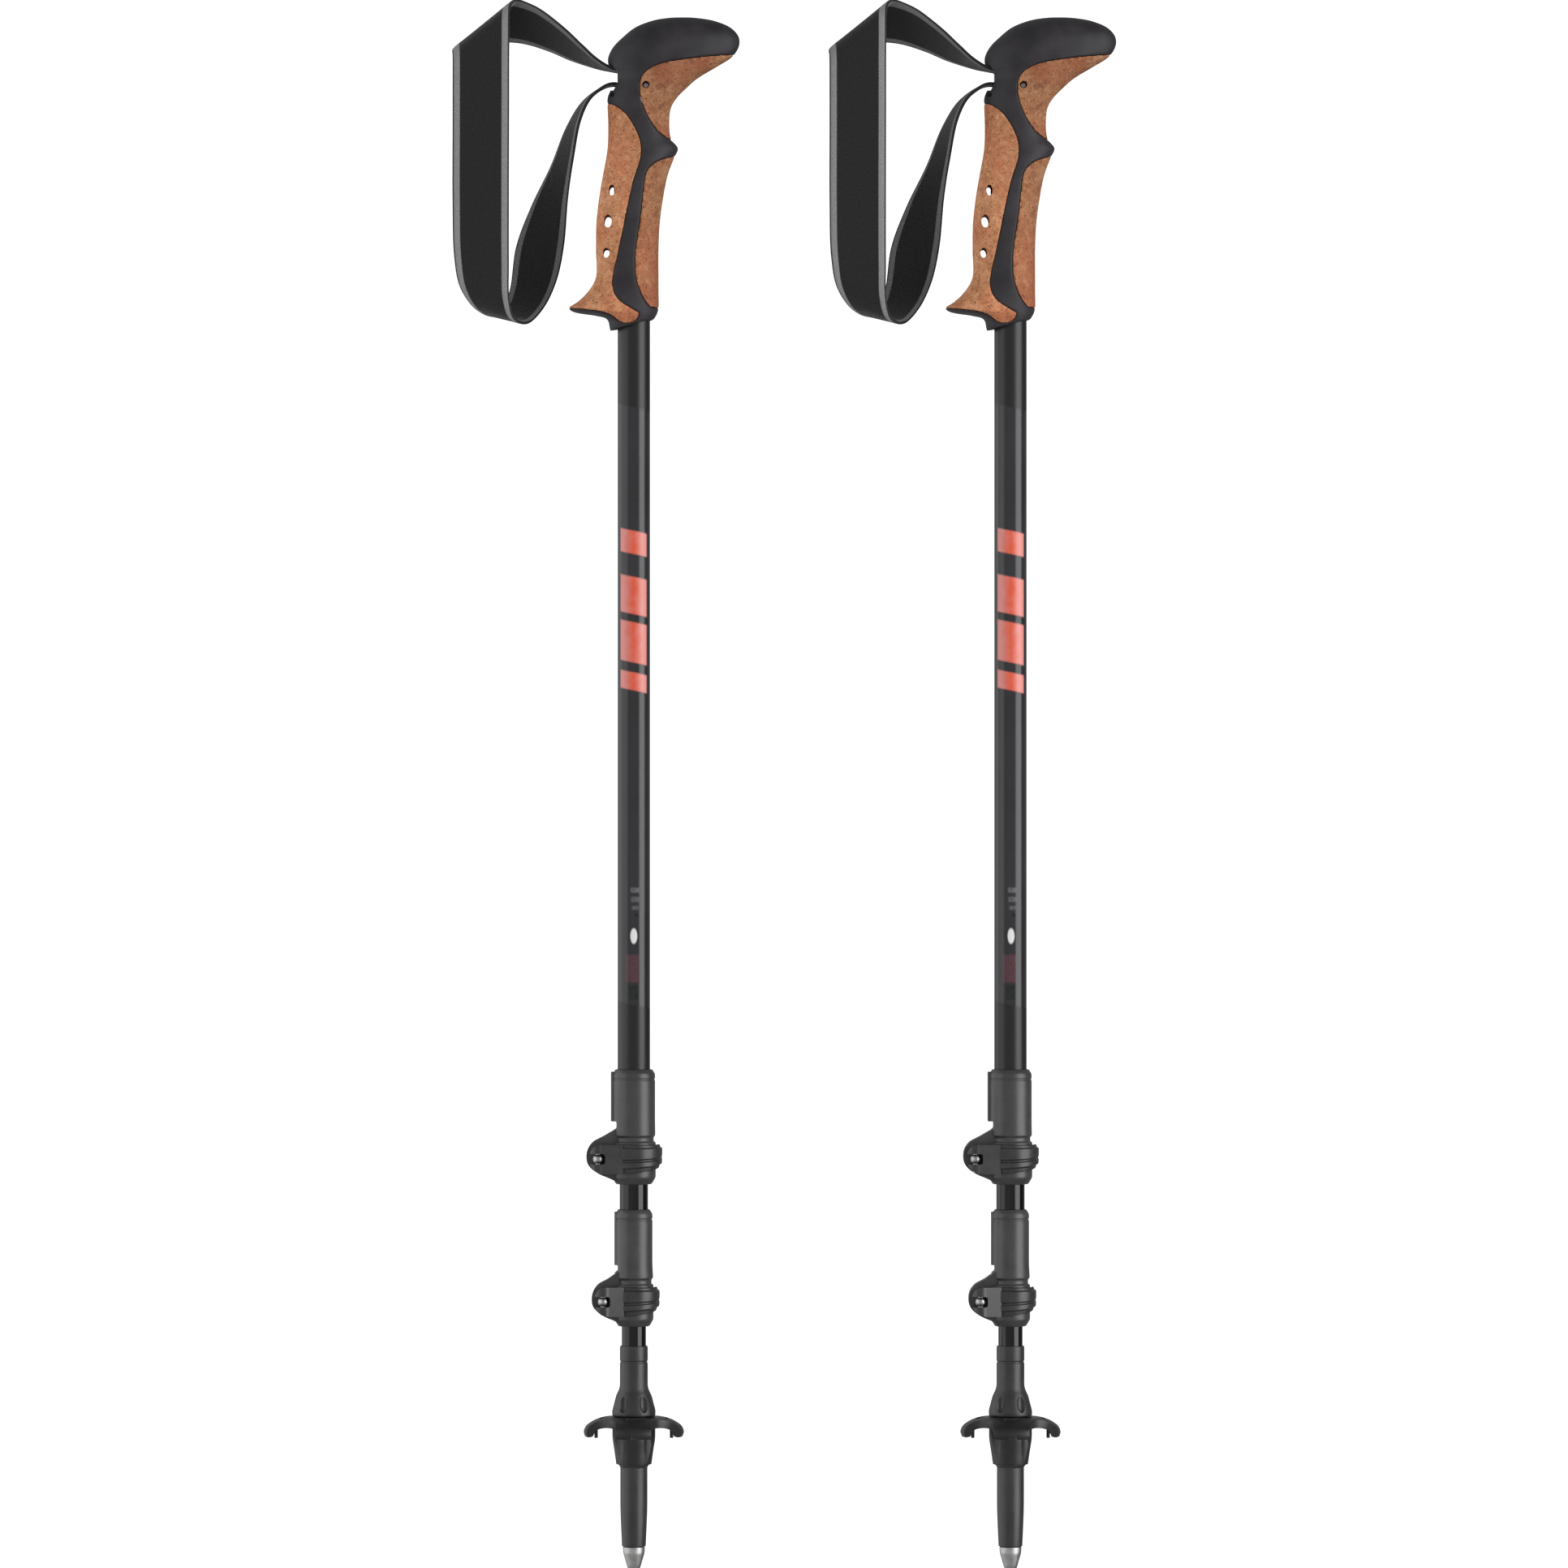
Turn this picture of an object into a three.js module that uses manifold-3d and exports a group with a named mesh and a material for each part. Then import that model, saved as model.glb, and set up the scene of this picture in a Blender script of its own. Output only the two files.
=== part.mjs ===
// A pair of three-section trekking poles: cork grips with wrist straps, two lever locks on each
// pole, trekking baskets and steel-shod flexible tips.
// Millimetres, +Z up. The origin is the ground contact of the left pole's tip, so the left pole's
// axis is the Z axis. The right pole is the same, PAIR_SPACING along +X. Horns point along +X.

import * as THREE from "three";
import { mergeVertices } from "three/addons/utils/BufferGeometryUtils.js";
import Module from "manifold-3d";

const wasm = await Module();
wasm.setup();

// ---------------------------------------------------------------- driving dimensions
const PAIR_SPACING = 185.6;
const GAP = 0.3; // clearance between pieces that touch
const ROUND = 20; // sides of a tube or a turned piece
const SMALL_ROUND = 8; // sides of a pin, bolt or hole

const UPPER_TUBE = { r: 8, wall: 0.7, bottom: 224.4, top: 724.5 };
const MIDDLE_TUBE = { r: 7, wall: 0.7, bottom: 153.6, top: 650 };
const LOWER_TUBE = { r: 6, wall: 0.8, bottom: 76.5, top: 590 };

const UPPER_LOCK = {
  outer: UPPER_TUBE,
  inner: MIDDLE_TUBE,
  top: 251,
  middle: 207.2,
  bottom: 194.4,
  sleeveR: 11.1,
  collarR: 10.8,
  leverR: 14,
  pivotX: -17.2,
  earLeft: -23.4,
};
const LOWER_LOCK = {
  outer: MIDDLE_TUBE,
  inner: LOWER_TUBE,
  top: 182,
  middle: 137,
  bottom: 124.4,
  sleeveR: 9.4,
  collarR: 9.7,
  leverR: 12.7,
  pivotX: -14.8,
  earLeft: -20.8,
};

const EAR_Y = 6; // the ears of a clamp reach this far each side of its slit
const HUB_R = 4.4; // the lever's hub round its pin
const PIN_R = 1.5;
const BOLT_R = 1.7;
const PIVOT_Y = -(EAR_Y + GAP + HUB_R);
const LEVER_HEIGHT = 15;
const FORK_SLOT = 5.2; // the space between the lever's two cheeks
const LEVER_WALL = 2.4;

const GRIP_SOCKET = { r: 9.8, cavity: 10.1, bottom: 613.6 };
const STRAP_SLOT = { left: -18, right: 10.6, bottom: 728.4, top: 742.6, halfDepth: 7.6 };
const STRAP_PIN = { x: 6.1, z: 735.2, length: 25 };
const STRAP_THICKNESS = 1.8;
const STRAP_END_X = -8; // where the anchored tail ends, short of the free loop
const TAIL_HALF_WIDTH = 6.5;

const TIP = { top: 114.8, stop: 80.3, neckR: 7.5, bodyR: 6.7, bottom: 16 };
const BASKET = { bore: 7.9, hubR: 10.6, rimR: 24.9, top: 79.9, bottom: 56.4, lobes: 4 };
const FERRULE = { top: 38, shankR: 2.8, coneR: 5.4, coneTop: 15.7, bottom: 4 };

// ---------------------------------------------------------------- solids
// A closed three.js geometry as a manifold solid.
function solid(geometry) {
  const bare = geometry.index ? geometry.toNonIndexed() : geometry.clone();
  bare.deleteAttribute("normal");
  bare.deleteAttribute("uv");
  const merged = mergeVertices(bare, 1e-4);
  const corners = merged.index.array;
  const kept = [];
  for (let i = 0; i < corners.length; i += 3) {
    const [a, b, c] = corners.slice(i, i + 3);
    if (a !== b && b !== c && a !== c) kept.push(a, b, c);
  }
  const build = (triangles) =>
    new wasm.Manifold(
      new wasm.Mesh({
        numProp: 3,
        vertProperties: merged.attributes.position.array,
        triVerts: new Uint32Array(triangles),
      }),
    );
  const made = build(kept);
  return made.volume() > 0 ? made : build(kept.reverse());
}

function geometryOf(made) {
  const mesh = made.getMesh();
  const geometry = new THREE.BufferGeometry();
  geometry.setAttribute("position", new THREE.BufferAttribute(mesh.vertProperties, 3));
  geometry.setIndex(new THREE.BufferAttribute(mesh.triVerts, 1));
  return geometry;
}

// A closed outline of [radius, z] turned round the Z axis.
function turned(outline, sides = ROUND) {
  const points = outline.map(([r, z]) => new THREE.Vector2(r, z));
  const onAxis = outline[0][0] === 0 && outline.at(-1)[0] === 0;
  if (!onAxis) points.push(points[0].clone());
  return solid(new THREE.LatheGeometry(points, sides).rotateX(Math.PI / 2));
}

// A closed outline of [x, y], upright from bottom to top.
function upright(outline, bottom, top) {
  const shape = new THREE.Shape(outline.map(([x, y]) => new THREE.Vector2(x, y)));
  const options = { depth: top - bottom, bevelEnabled: false };
  return solid(new THREE.ExtrudeGeometry(shape, options).translate(0, 0, bottom));
}

// A closed outline of [x, z], from front to back along Y.
function through(outline, front, back) {
  const shape = new THREE.Shape(outline.map(([x, z]) => new THREE.Vector2(x, z)));
  const options = { depth: back - front, bevelEnabled: false };
  const geometry = new THREE.ExtrudeGeometry(shape, options).rotateX(Math.PI / 2);
  return solid(geometry.translate(0, back, 0));
}

function box(left, right, front, back, bottom, top) {
  const geometry = new THREE.BoxGeometry(right - left, back - front, top - bottom);
  return solid(geometry.translate((left + right) / 2, (front + back) / 2, (bottom + top) / 2));
}

// A round bar along Z, or along Y, centred on its own axis point.
function barZ(x, y, r, bottom, top, sides = SMALL_ROUND) {
  const bar = new THREE.CylinderGeometry(r, r, top - bottom, sides).rotateX(Math.PI / 2);
  return solid(bar.translate(x, y, (bottom + top) / 2));
}

function barY(x, z, r, front, back, sides = SMALL_ROUND) {
  const bar = new THREE.CylinderGeometry(r, r, back - front, sides);
  return solid(bar.translate(x, (front + back) / 2, z));
}

function arc(cx, cy, r, from, to, steps) {
  return Array.from({ length: steps + 1 }, (_, i) => {
    const a = THREE.MathUtils.degToRad(from + ((to - from) * i) / steps);
    return [cx + r * Math.cos(a), cy + r * Math.sin(a)];
  });
}

// Rings of points, bottom to top, joined into one closed skin.
function lofted(rings) {
  const n = rings[0].length;
  const middle = (ring) => [0, 1, 2].map((k) => ring.reduce((sum, p) => sum + p[k], 0) / n);
  const points = [...rings.flat(), middle(rings[0]), middle(rings.at(-1))];
  const faces = [];
  for (let j = 0; j + 1 < rings.length; j++) {
    for (let i = 0; i < n; i++) {
      const a = j * n + i;
      const b = j * n + ((i + 1) % n);
      faces.push(a, b, b + n, a, b + n, a + n);
    }
  }
  const last = (rings.length - 1) * n;
  for (let i = 0; i < n; i++) {
    faces.push(points.length - 2, (i + 1) % n, i);
    faces.push(points.length - 1, last + i, last + ((i + 1) % n));
  }
  const geometry = new THREE.BufferGeometry();
  const flat = new Float32Array(points.flat());
  geometry.setAttribute("position", new THREE.BufferAttribute(flat, 3));
  geometry.setIndex(faces);
  return solid(geometry);
}

// An outline moved outwards by a distance, for the clearance round a fitted piece.
function grown(outline, distance) {
  const n = outline.length;
  const turning = outline.reduce((sum, [x, z], i) => {
    const [nx, nz] = outline[(i + 1) % n];
    return sum + x * nz - nx * z;
  }, 0);
  const side = Math.sign(turning);
  const normal = ([ax, az], [bx, bz]) => {
    const length = Math.hypot(bx - ax, bz - az);
    return [((bz - az) / length) * side, (-(bx - ax) / length) * side];
  };
  return outline.map((p, i) => {
    const before = normal(outline[(i + n - 1) % n], p);
    const after = normal(p, outline[(i + 1) % n]);
    const scale = distance / (1 + before[0] * after[0] + before[1] * after[1]);
    return [p[0] + (before[0] + after[0]) * scale, p[1] + (before[1] + after[1]) * scale];
  });
}

// ---------------------------------------------------------------- grip
// The hand grip's whole outside: z, left edge, right edge and half depth of each level.
const GRIP_LEVELS = [
  [616.4, -9, 9.8, 10],
  [619, -15, 10.6, 12.4],
  [622.4, -30, 11.6, 15],
  [625.2, -31.8, 12.2, 15.6],
  [629, -27.8, 12.3, 15],
  [634, -22.8, 12.2, 14.4],
  [641, -18.8, 12.2, 14],
  [655, -18.7, 12.2, 13.8],
  [668, -18.5, 12.8, 13.8],
  [680, -17.2, 14.4, 14],
  [692, -15.2, 16.8, 14.2],
  [700.4, -13.6, 20, 14.2],
  [704.8, -13, 21.8, 13.6],
  [709.4, -12.7, 18.4, 13.8],
  [718, -12.7, 17.5, 13.8],
  [725, -12.9, 18.4, 14],
  [730, -12.6, 21.4, 14.4],
  [735, -11, 26.4, 15],
  [740, -10, 32, 15.8],
  [745, -12.2, 40.8, 16.6],
  [750, -12.6, 48.6, 17.2],
  [755, -10, 51.8, 17.2],
  [759.6, -5.4, 51.8, 16.4],
  [764, 0, 48.2, 14],
  [767.4, 8, 40.6, 9.6],
  [769.2, 17.6, 31, 4.4],
];
const GRIP_SIDES = 16;
const GRIP_SQUARENESS = 2.3;
const HORN_TAPER = { from: 8, length: 44, share: 0.34 }; // how the horn narrows to its nose

function gripEnvelope() {
  const bulge = (v) => Math.sign(v) * Math.abs(v) ** (2 / GRIP_SQUARENESS);
  const narrowing = (x) => {
    const along = Math.max(0, (x - HORN_TAPER.from) / HORN_TAPER.length);
    return 1 - HORN_TAPER.share * along ** 2;
  };
  return lofted(
    GRIP_LEVELS.map(([z, left, right, depth]) =>
      Array.from({ length: GRIP_SIDES }, (_, i) => {
        const a = (2 * Math.PI * i) / GRIP_SIDES;
        const x = (left + right) / 2 + ((right - left) / 2) * bulge(Math.cos(a));
        return [x, depth * bulge(Math.sin(a)) * narrowing(x), z];
      }),
    ),
  );
}

// Outlines, seen from the front, of what each piece of the grip takes of the outside.
const PALM_CORK_EDGE = [
  [-11.8, 729],
  [-5.8, 725.2],
  [1.4, 716],
  [3.9, 707.6],
  [3.6, 700],
  [0.2, 689],
  [-2.6, 677],
  [-5.2, 664],
  [-8, 651],
  [-9.8, 642],
  [-9, 634.6],
  [-4.6, 628],
  [1.4, 624.4],
  [6, 620.6],
];
const HORN_CORK_EDGE = [
  [19.4, 708.2],
  [13, 711.8],
  [7.4, 719.2],
  [3.4, 730.4],
  [3.9, 738.8],
  [8, 743],
  [14, 745.6],
  [28.4, 748.2],
  [47, 750.6],
];
const FINGER_CORK_EDGE = [
  [19.8, 700.8],
  [10.8, 697.2],
  [6.6, 692.8],
  [4.9, 683],
  [3.4, 670],
  [1.8, 659],
  [0.8, 648.6],
  [1.6, 639],
  [5, 630.4],
  [8, 626.4],
];
const PALM_CORK = [[-50, 730], ...PALM_CORK_EDGE, [7, 606], [-50, 606]];
const HORN_CORK = [[60, 707.4], ...HORN_CORK_EDGE, [60, 752]];
const FINGER_CORK = [[60, 702], ...FINGER_CORK_EDGE, [60, 624.4]];
const POMMEL = [
  [-50, 745.6],
  [-12, 744.6],
  [-4, 743.2],
  [3.7, 742.8],
  [8, 743.5],
  [14, 746],
  [28.4, 748.6],
  [47, 751],
  [60, 752.4],
  [60, 790],
  [-50, 790],
];
const DEEP = 40; // further than any piece of the grip reaches each way along Y

// Three oval vents through the palm cork, each [x, z, half width, half height].
const VENTS = [
  [-10.6, 683.6, 1.4, 2.4],
  [-12.6, 668.4, 1.7, 2.8],
  [-13.4, 652.8, 1.5, 2.4],
];

function gripPieces() {
  const outside = gripEnvelope();
  const cavity = barZ(0, 0, GRIP_SOCKET.cavity, 600, UPPER_TUBE.top + 2, ROUND);
  const slot = box(
    STRAP_SLOT.left,
    STRAP_SLOT.right,
    -STRAP_SLOT.halfDepth,
    STRAP_SLOT.halfDepth,
    STRAP_SLOT.bottom,
    STRAP_SLOT.top,
  );
  const pinHole = barY(STRAP_PIN.x, STRAP_PIN.z, PIN_R + GAP, -DEEP, DEEP);
  const take = (outline) => outside.intersect(through(outline, -DEEP, DEEP));
  const vents = VENTS.map(([x, z, a, b]) =>
    through(
      arc(0, 0, 1, 0, 315, 7).map(([c, s]) => [x + a * c, z + b * s]),
      -DEEP,
      DEEP,
    ),
  );

  const corks = [PALM_CORK, HORN_CORK, FINGER_CORK, POMMEL];
  let core = corks.reduce(
    (left, outline) => left.subtract(through(grown(outline, GAP), -DEEP, DEEP)),
    outside,
  );
  const socket = turned([
    [6, GRIP_SOCKET.bottom],
    [GRIP_SOCKET.r - 0.8, GRIP_SOCKET.bottom],
    [GRIP_SOCKET.r, GRIP_SOCKET.bottom + 1],
    [GRIP_SOCKET.r, UPPER_TUBE.top + 1.6],
    [6, UPPER_TUBE.top + 1.6],
  ]);
  const bore = barZ(0, 0, UPPER_TUBE.r + GAP, 600, UPPER_TUBE.top + GAP, ROUND);
  core = core.add(socket).subtract(bore).subtract(slot).subtract(pinHole);

  let palm = take(PALM_CORK).subtract(cavity);
  for (const vent of vents) palm = palm.subtract(vent);
  return {
    grip_core: core,
    palm_cork: palm,
    horn_cork: take(HORN_CORK).subtract(cavity).subtract(slot).subtract(pinHole),
    finger_cork: take(FINGER_CORK).subtract(cavity),
    pommel: take(POMMEL),
  };
}

// ---------------------------------------------------------------- wrist strap
function strapPin() {
  return barY(STRAP_PIN.x, STRAP_PIN.z, PIN_R, -STRAP_PIN.length / 2, STRAP_PIN.length / 2);
}

// The strap's doubled end inside the grip: in under the pommel, round the pin and out again.
function strapTail() {
  const { x, z } = STRAP_PIN;
  const inside = PIN_R + GAP;
  const outer = arc(x, z, inside + STRAP_THICKNESS, 90, -90, 6);
  const inner = arc(x, z, inside, -90, 90, 6);
  const upper = [STRAP_END_X, 742.1];
  const lower = [STRAP_END_X, 730.2];
  const outline = [
    upper,
    ...outer,
    lower,
    [lower[0], lower[1] + STRAP_THICKNESS],
    ...inner,
    [upper[0], upper[1] - STRAP_THICKNESS],
  ];
  return through(outline, -TAIL_HALF_WIDTH, TAIL_HALF_WIDTH);
}

// The wedge that holds the tail's two legs apart, and so the loop's length.
function strapWedge() {
  const outline = [
    [-7.4, 732.6],
    [1.6, 734.4],
    [1.6, 736.2],
    [-7.4, 739.4],
  ];
  return through(outline, -TAIL_HALF_WIDTH + 0.5, TAIL_HALF_WIDTH - 0.5);
}

// The free loop, from the slot over the top, down in front, round the bottom and back.
// Each station is the strap's far edge and its near edge, each [x, y, z].
const STRAP_STATIONS = [
  [[-11.4, 6.5, 741.2], [-11.4, -6.5, 741.2]],
  [[-17.8, 6.8, 743], [-17.8, -6.4, 746.2]],
  [[-30.8, 8.6, 748.8], [-25.4, -5, 755.2]],
  [[-42.2, 10, 753.6], [-33.8, -4, 763.6]],
  [[-57, 10.4, 757.6], [-45, -1, 772.8]],
  [[-74, 9.6, 757.6], [-53, 2.6, 777.2]],
  [[-86, 7, 754.8], [-57.4, 3.6, 778.6]],
  [[-89.2, 2.6, 753.6], [-59.4, 0.4, 777.4]],
  [[-89.2, -1.4, 750.4], [-60.8, -3, 773.6]],
  [[-89.2, -3.2, 738], [-61.2, -4.6, 758]],
  [[-89.2, -4, 712], [-61.3, -5.4, 724]],
  [[-89.2, -4.2, 678], [-61.4, -5.8, 682]],
  [[-88.4, -4, 651], [-61.4, -5.8, 648]],
  [[-85.6, -2.6, 636.4], [-61.2, -4.6, 630.4]],
  [[-79.6, 1.6, 627.4], [-58.6, -1.2, 621.2]],
  [[-71.6, 8, 623.4], [-52, 5, 619.2]],
  [[-64.6, 13.4, 627.6], [-44.6, 10.4, 627]],
  [[-61.4, 15.8, 637], [-38.8, 12.6, 639.2]],
  [[-58.6, 16, 657], [-34.8, 11.6, 657]],
  [[-50.6, 13.6, 678], [-32.6, 6.4, 681]],
  [[-41, 11, 697], [-29.8, 0.6, 700.4]],
  [[-33.4, 9, 715.2], [-25.6, -3.6, 717.8]],
  [[-23, 7.4, 728.4], [-20.6, -6.2, 726.8]],
  [[-11.4, 6.5, 731.1], [-11.4, -6.5, 731.1]],
];
const STRAP_STEPS = 48;

function strapLoop() {
  const route = (edge) =>
    new THREE.CatmullRomCurve3(
      STRAP_STATIONS.map((station) => new THREE.Vector3(...station[edge])),
      false,
      "centripetal",
    );
  const far = route(0);
  const near = route(1);
  const middle = (t) => far.getPoint(t).add(near.getPoint(t)).multiplyScalar(0.5);
  const rings = [];
  for (let i = 0; i <= STRAP_STEPS; i++) {
    const t = i / STRAP_STEPS;
    const width = far.getPoint(t).sub(near.getPoint(t));
    const ahead = middle(Math.min(1, t + 0.01)).sub(middle(Math.max(0, t - 0.01)));
    const up = new THREE.Vector3().crossVectors(width, ahead).setLength(STRAP_THICKNESS / 2);
    const corners = [
      far.getPoint(t).add(up),
      near.getPoint(t).add(up),
      near.getPoint(t).sub(up),
      far.getPoint(t).sub(up),
    ];
    rings.push(corners.map((p) => p.toArray()));
  }
  return lofted(rings);
}

// ---------------------------------------------------------------- tubes
function tube({ r, wall, bottom, top }) {
  return turned([
    [r - wall, bottom],
    [r, bottom],
    [r, top],
    [r - wall, top],
  ]);
}

// The plastic bush on a sliding tube's top end, which guides it in the tube outside it.
function guideBush(inner, outer) {
  const guide = outer.r - outer.wall - 0.12;
  const plug = inner.r - inner.wall - GAP;
  return turned([
    [plug - 1.2, inner.top - 14],
    [plug, inner.top - 14],
    [plug, inner.top + 0.3],
    [guide, inner.top + 0.3],
    [guide, inner.top + 7],
    [guide - 0.8, inner.top + 8],
    [plug - 1.2, inner.top + 8],
  ]);
}

// ---------------------------------------------------------------- lever locks
// The sleeve on the outer tube's end, with the split collar and the two ears below it.
function lockHousing(lock) {
  const { outer, inner, top, middle, bottom, sleeveR, collarR, earLeft } = lock;
  const collarTop = middle + 12.4;
  const body = turned([
    [inner.r + GAP, bottom],
    [collarR - 2, bottom],
    [collarR, bottom + 3.4],
    [collarR, collarTop],
    [sleeveR, collarTop + 4.2],
    [sleeveR, top - 3.4],
    [sleeveR - 1.6, top],
    [outer.r + GAP, top],
    [outer.r + GAP, outer.bottom - GAP],
    [inner.r + GAP, outer.bottom - GAP],
  ]);
  const earOutline = [
    [-inner.r, middle + 13.2],
    [earLeft + 6, middle + 9.8],
    [earLeft + 1.4, middle + 6.4],
    [earLeft, middle + 2.4],
    [earLeft, middle - 1],
    [earLeft + 1.8, middle - 4.2],
    [earLeft + 5.8, middle - 7.4],
    [-inner.r, middle - 11.6],
  ];
  const ears = through(earOutline, -EAR_Y, EAR_Y);
  const bore = barZ(0, 0, inner.r + GAP, bottom - 5, outer.bottom - 2 * GAP, ROUND);
  const slit = box(-40, 0, -0.9, 0.9, bottom - 5, collarTop);
  const relief = box(-40, -outer.r - 0.4, -40, 40, collarTop + 0.8, outer.bottom + 0.6);
  const boltHole = barY(lock.pivotX, middle, BOLT_R + GAP, -20, 20);
  return body.add(ears).subtract(bore).subtract(slit).subtract(relief).subtract(boltHole);
}

// The tension bolt: an eye round the lever's pin, and a shank through both ears.
function lockBolt(lock) {
  const eyeHeight = FORK_SLOT - 2 * GAP;
  const low = lock.middle - eyeHeight / 2;
  const eye = barZ(lock.pivotX, PIVOT_Y, 3, low, low + eyeHeight, 10);
  const shank = barY(lock.pivotX, lock.middle, BOLT_R, PIVOT_Y + 1, EAR_Y + 7.4);
  const hole = barZ(lock.pivotX, PIVOT_Y, PIN_R + GAP, low - 5, low + 15);
  return eye.add(shank).subtract(hole);
}

function lockPin(lock) {
  const half = LEVER_HEIGHT / 2 + 0.4;
  return barZ(lock.pivotX, PIVOT_Y, PIN_R, lock.middle - half, lock.middle + half);
}

// The knurled nut on the bolt's back end, which sets how hard the lever clamps.
function lockNut(lock) {
  const ridges = 8;
  const outline = arc(0, 0, 1, 0, 360 - 180 / ridges, 2 * ridges - 1);
  const placed = outline.map(([c, s], i) => {
    const r = i % 2 ? 4.5 : 5;
    return [lock.pivotX + r * c, lock.middle + r * s];
  });
  const body = through(placed, EAR_Y + GAP, EAR_Y + 5);
  return body.subtract(barY(lock.pivotX, lock.middle, BOLT_R + GAP, 0, 30));
}

// The lever: a forked hub on the pin and an arm that wraps round the front of the collar.
function lockLever(lock) {
  const { leverR, middle, pivotX } = lock;
  const half = LEVER_HEIGHT / 2;
  const inside = leverR - LEVER_WALL;
  const armStart = 226;
  const armEnd = 374;
  const arm = upright(
    [...arc(0, 0, leverR, armStart, armEnd, 12), ...arc(0, 0, inside, armEnd, armStart, 10)],
    middle - half,
    middle + half,
  );
  const neck = upright(
    [
      [pivotX, PIVOT_Y - HUB_R],
      arc(0, 0, leverR, 246, 246, 1)[0],
      arc(0, 0, inside + 0.2, 246, 246, 1)[0],
      arc(0, 0, inside + 0.2, armStart, armStart, 1)[0],
      [pivotX + 3.2, PIVOT_Y + 2.9],
    ],
    middle - half,
    middle + half,
  );
  const hub = barZ(pivotX, PIVOT_Y, HUB_R, middle - half, middle + half, 12);
  const corner = 5.2; // how much of the arm's free end is rounded away, seen from the right
  const endOutline = [
    [-40, middle - half],
    [2, middle - half],
    [leverR - 1, middle - half + 2],
    [leverR + 5, middle - half + corner],
    [leverR + 5, middle + half - corner],
    [leverR - 1, middle + half - 2],
    [2, middle + half],
    [-40, middle + half],
  ];
  const pinHole = barZ(pivotX, PIVOT_Y, PIN_R + GAP, middle - 20, middle + 20);
  const low = middle - FORK_SLOT / 2;
  const high = middle + FORK_SLOT / 2;
  const slot = box(-40, pivotX + 3.4, -40, 0, low, high);
  return arm
    .add(neck)
    .add(hub)
    .intersect(through(endOutline, -DEEP, DEEP))
    .subtract(pinHole)
    .subtract(slot);
}

// ---------------------------------------------------------------- tip and basket
function tipBody() {
  const { top, stop, neckR, bodyR, bottom } = TIP;
  const bore = LOWER_TUBE.r + 0.2;
  const floor = LOWER_TUBE.bottom - GAP;
  const body = turned([
    [0, bottom],
    [bodyR - 0.8, bottom],
    [bodyR, bottom + 18],
    [bodyR, 55],
    [neckR, 56],
    [neckR, stop],
    [10.6, stop],
    [10.8, stop + 2.6],
    [9.4, stop + 8],
    [6.9, stop + 14.4],
    [6.9, top - 0.6],
    [6.6, top],
    [bore, top],
    [bore, floor],
    [0, floor],
  ]);
  return body.subtract(barZ(0, 0, FERRULE.shankR + GAP, bottom - 1, FERRULE.top + GAP, ROUND));
}

function ferrule() {
  const { top, shankR, coneR, coneTop, bottom } = FERRULE;
  const body = turned([
    [0, bottom],
    [2.9, bottom],
    [3.3, bottom + 2],
    [coneR, coneTop],
    [shankR, coneTop],
    [shankR, top],
    [0, top],
  ]);
  return body.subtract(barZ(0, 0, 1.5, bottom - 1, bottom + 8, SMALL_ROUND));
}

function carbidePoint() {
  const seat = FERRULE.bottom - GAP;
  return turned(
    [
      [0, 0],
      [1.7, 0],
      [2.2, seat],
      [1.2, seat],
      [1.2, seat + 6],
      [0, seat + 6],
    ],
    SMALL_ROUND,
  );
}

// The basket: a threaded hub under an arched plate of four lobes. Each lobe has a window, a
// stud under it and a notched lip turned down at its end.
function basket() {
  const { bore, hubR, rimR, top, bottom, lobes } = BASKET;
  let body = turned(
    [
      [bore, bottom],
      [8.7, bottom],
      [9.6, bottom + 6.6],
      [hubR, bottom + 12.6],
      [hubR, top - 4.9],
      [17, top - 4.7],
      [20.6, top - 6.4],
      [21.8, top - 9.4],
      [24.2, top - 9.9],
      [rimR, top - 7.2],
      [rimR - 1.2, top - 4.4],
      [20, top - 1.8],
      [15.2, top - 0.1],
      [bore, top],
    ],
    32,
  );
  for (let i = 0; i < lobes; i++) {
    const lobe = (360 * i) / lobes;
    const at = (radius, degrees) => arc(0, 0, radius, degrees, degrees, 1)[0];
    const scallop = arc(...at(29.2, lobe + 180 / lobes), 12, 0, 345, 23);
    const window = [...arc(0, 0, 17, lobe - 17, lobe + 17, 3), ...arc(0, 0, 12.6, lobe + 14, lobe - 14, 2)];
    const notch = [...arc(0, 0, 30, lobe - 6, lobe + 6, 1), ...arc(0, 0, 20.8, lobe + 7, lobe - 7, 1)];
    const stud = barZ(...at(18.6, lobe), 0.9, top - 10.6, top - 4);
    body = body
      .subtract(upright(scallop, 60, 90))
      .subtract(upright(window, 60, 90))
      .subtract(upright(notch, top - 12, top - 8.2))
      .add(stud);
  }
  return body;
}

// ---------------------------------------------------------------- materials
const material = (color, roughness, metalness = 0) =>
  new THREE.MeshStandardMaterial({ color, roughness, metalness });
const MATERIALS = {
  cork: material(0xb0744f, 0.85),
  softBlack: material(0x2c2c2e, 0.7),
  plastic: material(0x333335, 0.5),
  tube: material(0x2a2b2d, 0.35, 0.6),
  steel: material(0xb9bbbd, 0.3, 1),
  webbing: material(0x26272a, 0.95),
};

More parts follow.
